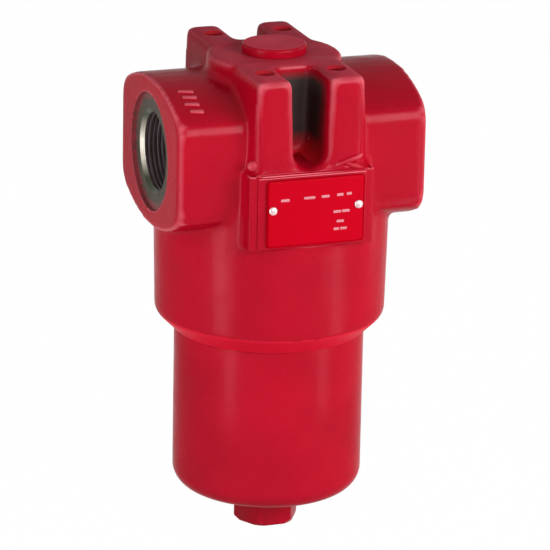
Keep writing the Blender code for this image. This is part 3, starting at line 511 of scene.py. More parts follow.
# %% Sizes of the stops
ROOF_Z = PORT_Z - 36 * MM
BOSS_Z = TOP_Z - 0.6 * MM
SKIRT_BORE_R = BOWL_R + GAP
LIP_R = SKIRT_BORE_R + 0.8 * MM
LIP_SLOPE = 9.1 / 9.0
STOP_BELOW = 6 * MM
STOP_R = LIP_R - 0.4 * MM
STOP_TOP = ROOF_Z + 14 * MM
PLUG_BORE_R = 12.1 * MM
BOSS_STOP_LOW = BOSS_Z - 23 * MM
SPOT_R = 32.0 * MM
PORT_STOP_R = SPOT_R + 0.6 * MM
WAIST_R = 26 * MM
WAIST_HALF = 14 * MM
HOLE_R = 4.25 * MM
HOLE_DEPTH = 18 * MM
HOLE_X = 18.5 * MM
HOLE_Y = 40 * MM
HOLES = [(x, y) for x in (-HOLE_X, HOLE_X) for y in (-HOLE_Y, HOLE_Y)]
print("tapped holes:", len(HOLES))


# %% Copy the head and stop its bores
def copy_of(node, name):
    """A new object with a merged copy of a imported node's mesh."""
    piece = bpy.data.objects.new(name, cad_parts[node].data.copy())
    piece.data.materials.clear()
    bpy.context.scene.collection.objects.link(piece)
    tidy_faces(piece)
    return piece


casting = copy_of("filter_head", "head_casting")
stops = [
    turned("bowl_stop", [
        (0.0, LIP_Z - STOP_BELOW),
        (LIP_R - STOP_BELOW * LIP_SLOPE, LIP_Z - STOP_BELOW),
        (LIP_R, LIP_Z),
        (STOP_R, LIP_Z + 1 * MM),
        (STOP_R, STOP_TOP),
        (0.0, STOP_TOP),
    ]),
    turned("boss_stop", [
        (0.0, BOSS_STOP_LOW),
        (PLUG_BORE_R + MM, BOSS_STOP_LOW),
        (PLUG_BORE_R + MM, BOSS_Z),
        (0.0, BOSS_Z),
    ], 48),
    along_x(turned("port_stop", [
        (0.0, -PORT_FACE),
        (PORT_STOP_R, -PORT_FACE),
        (PORT_STOP_R, -WAIST_HALF),
        (WAIST_R, -WAIST_HALF),
        (WAIST_R, WAIST_HALF),
        (PORT_STOP_R, WAIST_HALF),
        (PORT_STOP_R, PORT_FACE),
        (0.0, PORT_FACE),
    ], 96), PORT_Z),
]
for x, y in HOLES:
    stop = turned("hole_stop", [
        (0.0, TOP_Z - HOLE_DEPTH - MM),
        (HOLE_R + MM, TOP_Z - HOLE_DEPTH - MM),
        (HOLE_R + MM, TOP_Z),
        (0.0, TOP_Z),
    ], 24)
    stop.location = (x, y, 0.0)
    settle(stop)
    stops.append(stop)
pick(casting, *stops)
bpy.ops.object.join()
print("stopped head:", triangles(casting), "triangles")

# %% [markdown]
# ## The raw casting
#
# The label pad has steps of one millimetre, finer than the voxels. So its face is
# planed off here, and it is put back as a crisp piece once the casting is smooth.
# The remesh rebuilds the whole skin from small cells, which fuses the stops with
# the casting, and the smoothing rounds every corner as a sand mould does.

# %% Blocks and Booleans
def brick(name, low, high, round_by=0.0, segments=2):
    """A block between two corners, with its edges rounded over."""
    deselect()
    middle = (Vector(low) + Vector(high)) / 2
    bpy.ops.mesh.primitive_cube_add(size=1.0, location=middle)
    piece = bpy.context.object
    piece.name = name
    piece.scale = Vector(high) - Vector(low)
    settle(piece)
    if round_by:
        edit(piece)
        bpy.ops.mesh.bevel(offset=round_by, segments=segments, affect="EDGES")
        bpy.ops.object.mode_set(mode="OBJECT")
    return piece


def boolean(piece, tools, operation):
    """Joins to or cuts from a piece all of these tools, in one pass, and removes them."""
    group = bpy.data.collections.new(piece.name + "_tools")
    for tool in tools:
        group.objects.link(tool)
    step = piece.modifiers.new("cut", "BOOLEAN")
    step.operation = operation
    step.solver = "MANIFOLD"
    step.material_mode = "TRANSFER"
    step.operand_type = "COLLECTION"
    step.collection = group
    apply_all(piece)
    for tool in tools:
        bpy.data.objects.remove(tool)
    bpy.data.collections.remove(group)


# %% Remesh, plane off the pad and smooth
VOXEL = 1.35 * MM
CASTING_SMOOTHING = 9
SMOOTHING_FACTOR = 0.5
SKIN_Y = -58.9 * MM
PLANER_Y = -70 * MM
PAD_X = 32.5 * MM
PAD_LOW = PORT_Z - 37.5 * MM
PAD_TOP = PORT_Z + 1.0 * MM

remesh = casting.modifiers.new("sand", "REMESH")
remesh.mode = "VOXEL"
remesh.voxel_size = VOXEL
apply_all(casting)
planer = brick(
    "pad_planer",
    (-PAD_X - MM, PLANER_Y, PAD_LOW + 0.5 * MM),
    (PAD_X + MM, SKIN_Y, PAD_TOP + MM),
)
boolean(casting, [planer], "DIFFERENCE")
soften = casting.modifiers.new("soften", "SMOOTH")
soften.factor = SMOOTHING_FACTOR
soften.iterations = CASTING_SMOOTHING
apply_all(casting)
casting.data.materials.clear()
casting.data.materials.append(cast_paint)
print("raw casting:", triangles(casting), "triangles")

# %% [markdown]
# ## The label pad
#
# The pad that carries the name plate is a raised block with a second, smaller
# step on its face. Both are blocks with their edges rounded over, and they are
# fused to the casting with a Boolean, so that the paint runs over one skin.

# %% Fuse the pad to the casting
PAD_FACE_Y = -60.2 * MM
LAND_FACE_Y = -61.2 * MM
LAND_X = PAD_X - 4.2 * MM
PAD_BACK_Y = -45 * MM
PAD_ROUND = 1.1 * MM
LAND_ROUND = 0.6 * MM

pad = brick(
    "pad_block", (-PAD_X, PAD_FACE_Y, PAD_LOW), (PAD_X, PAD_BACK_Y, PAD_TOP), PAD_ROUND, 4)
land = brick(
    "pad_land",
    (-LAND_X, LAND_FACE_Y, PAD_LOW + MM),
    (LAND_X, PAD_BACK_Y, PAD_TOP - MM), LAND_ROUND, 3)
boolean(casting, [pad, land], "UNION")
print("with its pad:", triangles(casting), "triangles")

# %% [markdown]
# ## What the foundry leaves
#
# Four short raised dashes lie on top of the inlet block, as moulders mark their
# patterns. Each is a rounded block, turned to lie along the skin where a ray from
# above meets it. Bump alone would vanish from the side, so they are geometry.

# %% Raise four foundry marks
MARKS = [  # x, y and half the length
    (-53.5 * MM, -21.5 * MM, 4.2 * MM),
    (-53.2 * MM, -26.9 * MM, 3.9 * MM),
    (-53.8 * MM, -32.6 * MM, 3.9 * MM),
    (-52.9 * MM, -37.9 * MM, 3.6 * MM),
]
MARK_HALF = 1.5 * MM
MARK_SINK = 2.4 * MM
MARK_RISE = 0.8 * MM
MARK_ROUND = 1.1 * MM
MARK_TURN = math.radians(-12)


def surface_height(piece, x, y):
    """The place and normal of the upper surface of a piece, seen from above."""
    _, spot, normal, _ = piece.ray_cast(Vector((x, y, 1.0)), Vector((0, 0, -1)))
    return spot, normal


marks = []
for x, y, half in MARKS:
    spot, normal = surface_height(casting, x, y)
    mark = brick(
        "foundry_mark", (-half, -MARK_HALF, -MARK_SINK), (half, MARK_HALF, MARK_RISE),
        MARK_ROUND, 4)
    mark.rotation_euler = (math.atan2(-normal.y, normal.z), 0.0, MARK_TURN)
    mark.location = spot
    settle(mark)
    marks.append(mark)
boolean(casting, marks, "UNION")
print("marks raised:", len(marks))

# %% [markdown]
# ## Mould seams and gate stubs
#
# Where two halves of a sand mould meet, a little iron runs into the joint and
# leaves a thin ridge, and where the iron came in, a ground-off stub stays. A seam
# is a long flat lump whose points are all pushed onto the skin behind them, so it
# follows the rounded corner. A stub is a low lump, half sunk in the skin.

# %% Raise the seams and stubs above the label pad
SEAMS = [  # x and z of one end, then of the other
    (11.8 * MM, 205.4 * MM, 28.0 * MM, 209.8 * MM),
    (15.0 * MM, 206.7 * MM, 31.0 * MM, 202.6 * MM),
]
# x, z and radius on the front, and x, y and radius on the boss's rim
STUBS = [(-28.8 * MM, 207.2 * MM, 3.2 * MM), (-27.8 * MM, 202.6 * MM, 1.6 * MM)]
RIM_STUBS = [(-0.8 * MM, -30.6 * MM, 1.7 * MM), (8.3 * MM, -31.4 * MM, 1.5 * MM)]
SEAM_HALF = 2.0 * MM
SEAM_SINK = 0.4 * MM
SEAM_SWELL = 1.2
LUMP_SHAPE = (1.0, 0.7, 0.86)


def front_skin(piece, x, z):
    """The place on the front of a piece at a width and a height."""
    return piece.ray_cast(Vector((x, -1.0, z)), Vector((0, 1, 0)))[1]


def dome(name, spot, radius):
    """A low round lump, half sunk in the skin of the casting."""
    deselect()
    bpy.ops.mesh.primitive_uv_sphere_add(segments=32, ring_count=16, radius=radius, location=spot)
    lump = bpy.context.object
    lump.name = name
    lump.scale = LUMP_SHAPE
    settle(lump)
    return lump


raised = []
for x0, z0, x1, z1 in SEAMS:
    start = Vector((x0, 0.0, z0))
    end = Vector((x1, 0.0, z1))
    seam = dome("mould_seam", (0, 0, 0), SEAM_HALF)
    seam.scale.x = (end - start).length / (2 * SEAM_HALF)
    seam.rotation_euler = Vector((1, 0, 0)).rotation_difference(end - start).to_euler()
    seam.location = (start + end) / 2
    settle(seam)
    for vertex in seam.data.vertices:
        skin = front_skin(casting, vertex.co.x, vertex.co.z).y
        vertex.co.y = skin + SEAM_SINK + SEAM_SWELL * vertex.co.y
    raised.append(seam)
for x, z, radius in STUBS:
    raised.append(dome("gate_stub", front_skin(casting, x, z), radius))
for x, y, radius in RIM_STUBS:
    raised.append(dome("rim_stub", surface_height(casting, x, y)[0], radius))
boolean(casting, raised, "UNION")
print("seams and stubs raised:", len(raised))

# %% [markdown]
# ## Machining the head
#
# Everything that a lathe or drill would cut is cut with a turned cutter of the same
# shape: the two ports, the bore for the bowl, the chamber around the spigot, the
# indicator port, the tapped holes and the valve's hole. Threads are a helical ridge
# on the cutter, so they leave a groove. Each cutter carries the finish that its cut
# leaves, and the Boolean passes that on to the new faces.

# %% The ridge that cuts a screw thread
RIDGE_HALF = 0.44
RIDGE_FLAT = 0.06


def thread_ridge(name, base_r, tip_r, pitch, low, turns, steps):
    """A helical ridge of a screw thread. base_r is inside the metal that it joins."""
    half = RIDGE_HALF * pitch
    flat = RIDGE_FLAT * pitch
    outline = [(base_r, low - half), (tip_r, low - flat), (tip_r, low + flat), (base_r, low + half)]
    piece = draw_outline(name, outline)
    bpy.ops.object.mode_set(mode="OBJECT")
    screw = piece.modifiers.new("helix", "SCREW")
    screw.angle = math.tau
    screw.screw_offset = pitch
    screw.iterations = turns
    screw.steps = steps
    screw.render_steps = steps
    screw.use_merge_vertices = False
    apply_all(piece)
    edit(piece)
    bpy.ops.mesh.select_all(action="DESELECT")
    bpy.ops.mesh.select_non_manifold()
    bpy.ops.mesh.fill_holes(sides=8)
    bpy.ops.mesh.select_all(action="SELECT")
    bpy.ops.mesh.normals_make_consistent(inside=False)
    bpy.ops.object.mode_set(mode="OBJECT")
    return piece


# %% Giving a finish to a piece or to some of its faces
def finish(piece, look):
    """Gives a whole piece one material."""
    piece.data.materials.clear()
    piece.data.materials.append(look)
    return piece


def paint_faces(piece, look, wanted):
    """Gives a material to the faces whose centre and normal pass a test."""
    piece.data.materials.append(look)
    slot = len(piece.data.materials) - 1
    count = 0
    for face in piece.data.polygons:
        if wanted(face.center, face.normal):
            face.material_index = slot
            count += 1
    return count


# %% [markdown]
# ## The port's ring and countersink
#
# The flat ring around a port is milled after casting and stays bare, and the spray
# for the block drifts over its rim. Its finish fades from iron to dull red with the
# distance from the port's axis, along a ragged line. The countersink inside it is
# bright, and darker above and below the middle.

# %% Finish of the ring
SPRAY_START = 25.5 * MM
SPRAY_FULL = 30.5 * MM
SPRAY_RAG = 1.6 * MM
DRY_SPRAY = (0.26, 0.016, 0.030)


def ring_finish(name):
    """The milled ring around a port: bare iron, with red overspray towards its rim."""
    made, shader, bare, place = material_copy(ring_iron, name)
    tree = made.node_tree
    flat = tree.nodes.new("ShaderNodeVectorMath")
    flat.operation = "MULTIPLY_ADD"
    tree.links.new(place, flat.inputs[0])
    flat.inputs[1].default_value = (0.0, 1.0, 1.0)
    flat.inputs[2].default_value = (0.0, 0.0, -PORT_Z)
    far = tree.nodes.new("ShaderNodeVectorMath")
    far.operation = "LENGTH"
    tree.links.new(flat.outputs[0], far.inputs[0])
    ragged = add_range(made, add_noise(made, place, 300.0, 3.0), -SPRAY_RAG, SPRAY_RAG)
    edge = add_math(tree, "ADD", far.outputs["Value"], ragged)
    spray = add_range(made, edge, 0.0, 1.0, SPRAY_START, SPRAY_FULL)
    tree.links.new(add_mix(made, spray, bare, DRY_SPRAY), shader.inputs["Base Color"])
    tree.links.new(add_range(made, spray, 1.0, 0.0, 0.0, 1.0), shader.inputs["Metallic"])
    return made


port_ring = ring_finish("port_ring")

# %% Finish of the countersink
# The countersink darkens in a band above and one below the middle of the port.
BAND_ABOVE = (PORT_Z + 4 * MM, PORT_Z + 15 * MM)
BAND_BELOW = (PORT_Z - 17 * MM, PORT_Z - 9 * MM)
DARK_BAND_STEEL = (0.060, 0.066, 0.044)


def sink_finish(name):
    """Bright turned steel, darker above and below the middle of the port."""
    made, shader, bright, place = material_copy(sink_steel, name)
    tree = made.node_tree
    height = add_axes(made, place)["Z"]
    above = add_range(made, height, 0.0, 1.0, *BAND_ABOVE)
    below = add_range(made, height, 1.0, 0.0, *BAND_BELOW)
    dark_band = add_math(tree, "ADD", above, below)
    tree.links.new(add_mix(made, dark_band, bright, DARK_BAND_STEEL), shader.inputs["Base Color"])
    return made


port_sink = sink_finish("port_sink")
print("port finishes:", port_ring.name, "and", port_sink.name)

# %% Cutters for the ports
PORT_BORE_R = 19.5 * MM
SINK_R = 21.4 * MM
RING_R = 29.8 * MM
PASSAGE_R = 16 * MM
SPOT_DEPTH = 1.8 * MM
THREAD_DEPTH = 25 * MM
PORT_PITCH = 2.309 * MM
INLET_END = 20 * MM
OUTLET_END = -8 * MM


def port_cutters(name, side, end):
    """The cutter for one port and the ridge that cuts its thread."""
    floor = PORT_FACE - SPOT_DEPTH
    sink_low = floor - (SINK_R - PORT_BORE_R)
    thread_end = floor - THREAD_DEPTH
    bore = turned(name, [
        (0.0, end),
        (PASSAGE_R, end),
        (PASSAGE_R, thread_end - 3.5 * MM),
        (PORT_BORE_R, thread_end),
        (PORT_BORE_R, sink_low),
        (SINK_R, floor),
        (RING_R, floor),
        (RING_R + 0.4 * MM, PORT_FACE + MM),
        (0.0, PORT_FACE + MM),
    ])
    finish(bore, bore_iron)
    just_below = floor - 0.1 * MM
    paint_faces(bore, port_ring, lambda spot, normal: spot.z > just_below)
    paint_faces(bore, port_sink, lambda spot, normal: sink_low < spot.z < just_below)
    ridge = thread_ridge(
        name + "_ridge", PORT_BORE_R - 0.4 * MM, PORT_BORE_R + 1.2 * MM, PORT_PITCH,
        thread_end + 2.4 * MM, 9, 96)
    finish(ridge, bore_iron)
    return [along_x(bore, PORT_Z, side), along_x(ridge, PORT_Z, side)]


cutters = port_cutters("inlet_cutter", -1, INLET_END)
cutters += port_cutters("outlet_cutter", 1, OUTLET_END)
print("port cutters:", len(cutters))

# %% Cutters for the bowl's side
NECK_R = BOWL_R - 2 * MM
SHOULDER_Z = LIP_Z + 20 * MM
LIP_CLEAR_R = 62 * MM
LIP_CLEAR_Z = LIP_Z - 9 * MM
CHAMBER_R = 40 * MM
SPIGOT_R = 15 * MM
SPIGOT_BORE_R = 11 * MM
SPIGOT_END_Z = PORT_Z - 63.5 * MM
BOWL_PITCH = 2 * MM

chamber = turned("chamber_cutter", [
    (0.0, LIP_CLEAR_Z),
    (LIP_CLEAR_R, LIP_CLEAR_Z),
    (LIP_CLEAR_R, LIP_Z),
    (SKIRT_BORE_R, LIP_Z),
    (SKIRT_BORE_R, SHOULDER_Z + GAP),
    (NECK_R + GAP, SHOULDER_Z + GAP),
    (NECK_R + GAP, RIM_Z + 0.6 * MM),
    (CHAMBER_R, RIM_Z + 4.0 * MM),
    (CHAMBER_R, ROOF_Z),
    (SPIGOT_R, ROOF_Z),
    (SPIGOT_R, SPIGOT_END_Z),
    (0.0, SPIGOT_END_Z),
])
spigot_bore = turned("spigot_cutter", [
    (0.0, SPIGOT_END_Z - MM),
    (SPIGOT_BORE_R + MM, SPIGOT_END_Z - MM),
    (SPIGOT_BORE_R + MM, SPIGOT_END_Z),
    (SPIGOT_BORE_R, SPIGOT_END_Z + MM),
    (SPIGOT_BORE_R, PORT_Z),
    (0.0, PORT_Z),
], 64)
skirt_ridge = thread_ridge(
    "skirt_ridge", SKIRT_BORE_R - 0.4 * MM, SKIRT_BORE_R + 0.9 * MM, BOWL_PITCH,
    LIP_Z + 3.5 * MM, 6, 128)
for cutter in (chamber, spigot_bore, skirt_ridge):
    cutters.append(finish(cutter, bare_iron))

# %% The kidney-shaped passage from the inlet to the chamber
KIDNEY_INNER_R = 19 * MM
KIDNEY_OUTER_R = 35 * MM
KIDNEY_START = 140
KIDNEY_SWING = 80
KIDNEY_STEPS = 24


def ring_sector(name, outline, start, swing, steps):
    """Part of a ring: an outline swept about +Z from one angle in degrees."""
    piece = draw_outline(name, outline)
    bpy.ops.mesh.edge_face_add()
    bpy.ops.mesh.spin(
        steps=steps, angle=math.radians(swing), center=(0, 0, 0), axis=(0, 0, 1))
    bpy.ops.object.mode_set(mode="OBJECT")
    piece.rotation_euler = (0.0, 0.0, math.radians(start))
    settle(piece)
    tidy_faces(piece)
    return piece


kidney = ring_sector("kidney_cutter", [
    (KIDNEY_INNER_R, ROOF_Z - MM),
    (KIDNEY_OUTER_R, ROOF_Z - MM),
    (KIDNEY_OUTER_R, PORT_Z),
    (KIDNEY_INNER_R, PORT_Z),
], KIDNEY_START, KIDNEY_SWING, KIDNEY_STEPS)
cutters.append(finish(kidney, bare_iron))
print("kidney cutter closed:", triangles(kidney), "triangles")

# %% Drilled holes in the top and the pad
PLUG_BORE_LOW = BOSS_Z - 21 * MM
SENSE_R = 2 * MM
BYPASS_X = 25.6 * MM
BYPASS_HOLE_R = 8 * MM
RIVET_HOLE_R = 1.5 * MM
RIVET_HOLE_Y = -57.2 * MM


def drill(name, radius, start, end, steps):
    """A round cutter between two points."""
    start, end = Vector(start), Vector(end)
    along = end - start
    outline = [(0.0, 0.0), (radius, 0.0), (radius, along.length), (0.0, along.length)]
    piece = turned(name, outline, steps)
    piece.rotation_euler = along.to_track_quat("Z", "Y").to_euler()
    piece.location = start
    settle(piece)
    return finish(piece, bare_iron)


def middle_of(node):
    """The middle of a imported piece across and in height."""
    low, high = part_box(node)
    return (low.x + high.x) / 2, (low.z + high.z) / 2


RIVETS = [middle_of("plate_rivet_left"), middle_of("plate_rivet_right")]
sense_top = PLUG_BORE_LOW + MM
cutters += [
    drill("plug_bore_cutter", PLUG_BORE_R, (0, 0, PLUG_BORE_LOW), (0, 0, BOSS_Z + 2 * MM), 96),
    drill("outlet_sense_cutter", SENSE_R, (8 * MM, 0, PORT_Z), (8 * MM, 0, sense_top), 24),
    drill("inlet_sense_cutter", SENSE_R,
          (-34 * MM, 0, PORT_Z + 10 * MM), (-8 * MM, 0, sense_top), 24),
    drill("bypass_cutter", BYPASS_HOLE_R, (BYPASS_X, 0, ROOF_Z - MM), (BYPASS_X, 0, PORT_Z), 64),
]
for x, z in RIVETS:
    cutters.append(drill("rivet_cutter", RIVET_HOLE_R, (x, PLANER_Y, z), (x, RIVET_HOLE_Y, z), 24))
print("cutters so far:", len(cutters))

# %% Tapped holes in the pillars
hole = turned("hole_cutter", [
    (0.0, -HOLE_DEPTH),
    (HOLE_R, -HOLE_DEPTH + 2 * MM),
    (HOLE_R, -0.9 * MM),
    (HOLE_R + 1.2 * MM, 0.3 * MM),
    (HOLE_R + 1.2 * MM, 2 * MM),
    (0.0, 2 * MM),
], 48)
finish(hole, hole_paint)
ridge = thread_ridge(
    "hole_ridge", HOLE_R - 0.3 * MM, HOLE_R + 0.75 * MM, 1.5 * MM, -14.6 * MM, 9, 32)
finish(ridge, hole_paint)


def copy_to(piece, x, y, z):
    """A copy of a piece with its own mesh, moved and settled."""
    twin = piece.copy()
    twin.data = piece.data.copy()
    bpy.context.scene.collection.objects.link(twin)
    twin.location = (x, y, z)
    settle(twin)
    return twin


for x, y in HOLES:
    cutters.append(copy_to(hole, x, y, TOP_Z))
    cutters.append(copy_to(ridge, x, y, TOP_Z))
for pattern in (hole, ridge):
    bpy.data.objects.remove(pattern)
print("cutters in all:", len(cutters))

# %% Cut them all in one pass
boolean(casting, cutters, "DIFFERENCE")
smooth(casting, 32)
print("machined head:", triangles(casting), "triangles")
print("its finishes:", ", ".join(look.name for look in casting.data.materials))

# %% [markdown]
# ## Where the paint differs
#
# The tops of the pillars and the boss are milled flat before the head is painted,
# and the coat is thinner and duller there. Their paler, greyer red is also a painted
# reflection. The label pad and the skirt's lip have no pale edges, so neither thin
# coat nor painted highlight shows there. The chamfer under the lip gets a brighter
# red, painted light that stands in for the light from the floor. All are found by
# place, as a painter would mask them.

# %% Masks
FACING_UP = 0.93
TOP_BAND = 1.5 * MM
LIP_BAND = 12 * MM
LIP_INSET = 2 * MM
PAD_DEPTH = 6 * MM
PAD_FOOT = 3 * MM
EDGE_UP = (0.3, 0.985)


def is_top(spot, normal):
    """True on the milled faces on top of the tower."""
    # The stubs on the boss's rim keep the cast paint, whose pale edges paint a highlight on them.
    stub = any((spot.xy - Vector((x, y))).length < radius for x, y, radius in RIM_STUBS)
    return normal.z > FACING_UP and spot.z > BOSS_Z - TOP_BAND and not stub


def is_lip(spot, normal):
    """True around the chamfered lip at the foot of the skirt."""
    return spot.z < LIP_Z + LIP_BAND and spot.xy.length > LIP_R - LIP_INSET


def is_under_lip(spot, normal):
    """True on the chamfer itself, which only light from the floor reaches."""
    return is_lip(spot, normal) and normal.z < -0.4


def is_pad_flat(spot, normal):
    """True on the label pad, apart from its rounded top edge, which keeps the pale edge colour,
    part thin coat and part painted highlight.
    """
    across = abs(spot.x) < PAD_X + 0.1 * MM and spot.y < PAD_FACE_Y + PAD_DEPTH
    along = PAD_LOW - PAD_FOOT < spot.z < PAD_TOP + 0.1 * MM
    return across and along and (normal.z < EDGE_UP[0] or normal.z > EDGE_UP[1])


print("masks ready")

# %% [markdown]
# ## The deep slots
#
# The backs of the two slots lie deep in shade, and that shade is painted into their
# finish. It is the cast paint, mixed with a dark painted shade by how far in a place
# lies. Near the floor of the slot a brighter red is painted in as light, and at its
# top the cast paint comes back.

# %% Finish of the slots
SLOT_X = 10.2 * MM
SLOT_BACK_Y = 27 * MM
SLOT_MOUTH_Y = 56 * MM
SLOT_IN = (41 * MM, 52 * MM)
SLOT_UP = (PORT_Z + 3 * MM, PORT_Z + 14 * MM)
SLOT_RIM = (TOP_Z - 8 * MM, TOP_Z - 3 * MM)
# A painted light near the slot's floor, and a painted shade deeper in.
SLOT_PAINTED_LIGHT = (0.95, 0.024, 0.052)
SLOT_PAINTED_SHADE = (0.082, 0.064, 0.061)


def in_slot(spot, normal):
    """True inside the two deep slots of the tower."""
    inside = abs(spot.x) < SLOT_X and spot.z > PORT_Z + MM
    return inside and SLOT_BACK_Y < abs(spot.y) < SLOT_MOUTH_Y and normal.z < FACING_UP


def slot_painted_shade_finish(name):
    """The cast paint, fading to painted shade with depth in a slot, and to painted light near its
    floor.
    """
    made, shader, painted, place = material_copy(cast_paint, name)
    tree = made.node_tree
    axes = add_axes(made, place)
    inward = add_range(made, add_math(tree, "ABSOLUTE", axes["Y"]), 1.0, 0.0, *SLOT_IN)
    upward = add_range(made, axes["Z"], 0.0, 1.0, *SLOT_UP)
    topward = add_range(made, axes["Z"], 1.0, 0.0, *SLOT_RIM)
    inside = add_math(tree, "MULTIPLY", inward, topward)
    shaded = add_mix(made, upward, SLOT_PAINTED_LIGHT, SLOT_PAINTED_SHADE)
    tree.links.new(add_mix(made, inside, painted, shaded), shader.inputs["Base Color"])
    return made


# %% Mask and paint the head
tops = paint_faces(casting, dull_top_and_painted_sheen, is_top)
slots = paint_faces(casting, slot_painted_shade_finish("slot_shade_and_light_paint"), in_slot)
paint_faces(casting, pad_paint, is_pad_flat)
paint_faces(casting, pad_paint, is_lip)
paint_faces(casting, lip_painted_floor_light, is_under_lip)
print("top faces:", tops, "and slot faces:", slots)
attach(casting, "head")
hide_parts("filter_head")

# %% [markdown]
# ## The bowl
#
# The bowl is a deep cup with a hexagon under its floor. It is turned from one
# outline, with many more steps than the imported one, so that it reads as round.
# The hexagon is a six-sided bar whose lower corners are turned off by a cone, the
# usual chamfer of a wrench hexagon.

# %% Turn the bowl
BOWL_INNER_R = 40 * MM
HEX_Z = 20 * MM
FLOOR_Z = 31 * MM
GROOVE_TOP = RIM_Z - 6 * MM
GROOVE_LOW = GROOVE_TOP - 6.2 * MM
GROOVE_R = NECK_R - 3.2 * MM
CORNER_R = 10.3 * MM
INNER_R = 9 * MM
TURNED_EDGE = 1.3 * MM

outline = [(0.0, FLOOR_Z)]
outline += arc((BOWL_INNER_R - INNER_R, FLOOR_Z + INNER_R), INNER_R, -90, 0, 10)
outline += [
    (BOWL_INNER_R, RIM_Z - 1.5 * MM),
    (BOWL_INNER_R + 1.0 * MM, RIM_Z),
    (NECK_R - TURNED_EDGE, RIM_Z),
    (NECK_R, RIM_Z - TURNED_EDGE),
    (NECK_R, GROOVE_TOP),
    (GROOVE_R, GROOVE_TOP),
    (GROOVE_R, GROOVE_LOW),
    (NECK_R, GROOVE_LOW),
    (NECK_R, SHOULDER_Z),
    (BOWL_R - TURNED_EDGE, SHOULDER_Z),
    (BOWL_R, SHOULDER_Z - TURNED_EDGE),
]
outline += arc((BOWL_R - CORNER_R, HEX_Z + CORNER_R), CORNER_R, 0, -90, 16)
outline += [(0.0, HEX_Z)]
bowl = turned("bowl_shell", outline, 192)
finish(bowl, bowl_paint)
print("bowl:", triangles(bowl), "triangles")

# %% Add the hexagon
HEX_FLATS = 30 * MM
HEX_CORNER_R = HEX_FLATS / math.sqrt(3)
HEX_LENGTH = HEX_Z + 4 * MM
CONE_R = HEX_CORNER_R + 0.1 * MM
CONE_TOP = HEX_Z + 6 * MM

deselect()
bpy.ops.mesh.primitive_cylinder_add(
    vertices=6, radius=HEX_CORNER_R, depth=HEX_LENGTH, location=(0, 0, HEX_LENGTH / 2))
hexagon = bpy.context.object
hexagon.name = "wrench_hexagon"
hexagon.rotation_euler = (0, 0, math.radians(30))
settle(hexagon)
edit(hexagon)
bpy.ops.mesh.bevel(offset=0.9 * MM, segments=3, affect="EDGES")
bpy.ops.object.mode_set(mode="OBJECT")
cone = turned("hexagon_cone", [
    (0.0, 0.0),
    (HEX_CORNER_R - 2.2 * MM, 0.0),
    (CONE_R, 2.6 * MM),
    (CONE_R, CONE_TOP),
    (0.0, CONE_TOP),
], 96)
boolean(hexagon, [cone], "INTERSECT")
finish(hexagon, bowl_paint)
boolean(bowl, [hexagon], "UNION")
print("with its hexagon:", triangles(bowl), "triangles")

# %% Cut the bowl's thread
ridge = thread_ridge(
    "bowl_ridge", BOWL_R + 0.5 * MM, BOWL_R - 0.9 * MM, BOWL_PITCH, LIP_Z + 4.0 * MM, 6, 128)
finish(ridge, bright_steel)
boolean(bowl, [ridge], "DIFFERENCE")

# %% Bare the neck and the inside
def is_bare(spot, normal):
    """True on the machined neck and in the bowl, where there is no paint."""
    inside = spot.xy.length < BOWL_INNER_R + 0.2 * MM and spot.z > FLOOR_Z - 0.1 * MM
    return spot.z > LIP_Z + 2.5 * MM or inside


paint_faces(bowl, bright_steel, is_bare)
smooth(bowl, 30)
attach(bowl, "bowl")
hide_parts("bowl")
print("bowl finished:", triangles(bowl), "triangles")

# %% [markdown]
# ## The blank plug
#
# A flanged plug closes the indicator port, with a soft edge where the paint has
# built up. It is turned from one outline: the shank in the bore, the groove for
# its seal under the flange, and the rounded flange on top.

# %% The blank plug
PLUG_R = 16.2 * MM
PLUG_SEAT = BOSS_Z + GAP
PLUG_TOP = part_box("indicator_port_plug")[1].z
SHANK_R = PLUG_BORE_R - GAP
SHANK_LOW = PLUG_SEAT - 14 * MM
SEAL_IN_R = 13.1 * MM
SEAL_OUT_R = 15.9 * MM
SEAL_ROOF = PLUG_SEAT + 2.2 * MM
FLANGE_ROUND = 1.4 * MM

outline = [
    (0.0, SHANK_LOW),
    (PLUG_BORE_R - 1.6 * MM, SHANK_LOW),
    (SHANK_R, PLUG_SEAT - 12.7 * MM),
    (SHANK_R, PLUG_SEAT),
    (SEAL_IN_R, PLUG_SEAT),
    (SEAL_IN_R, SEAL_ROOF),
    (SEAL_OUT_R, SEAL_ROOF),
    (SEAL_OUT_R, PLUG_SEAT),
    (PLUG_R, PLUG_SEAT),
]
outline += arc((PLUG_R - FLANGE_ROUND, PLUG_TOP - FLANGE_ROUND), FLANGE_ROUND, 0, 90, 8)
outline += [(0.0, PLUG_TOP)]
plug = turned("port_plug", outline, 96)
finish(plug, bowl_paint)
# The flat top of the plug is painted lighter, as painted light.
paint_faces(plug, plug_top_painted_light, lambda spot, normal: normal.z > 0.95)
smooth(plug, 40)
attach(plug, "head")
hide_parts("indicator_port_plug")
print("plug:", triangles(plug), "triangles")

# %% [markdown]
# ## The name plate
#
# The plate is a thin sheet with rounded corners, held by two drive rivets. A box
# with its four short edges bevelled gives the corners, and a second, finer bevel
# takes the sharpness off the rim. The fields are short plain dashes.

# %% The name plate
PLATE_CORNER = 1.2 * MM
PLATE_RIM = 0.25 * MM
PLATE_BACK_Y = -60 * MM
plate_low, plate_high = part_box("name_plate")

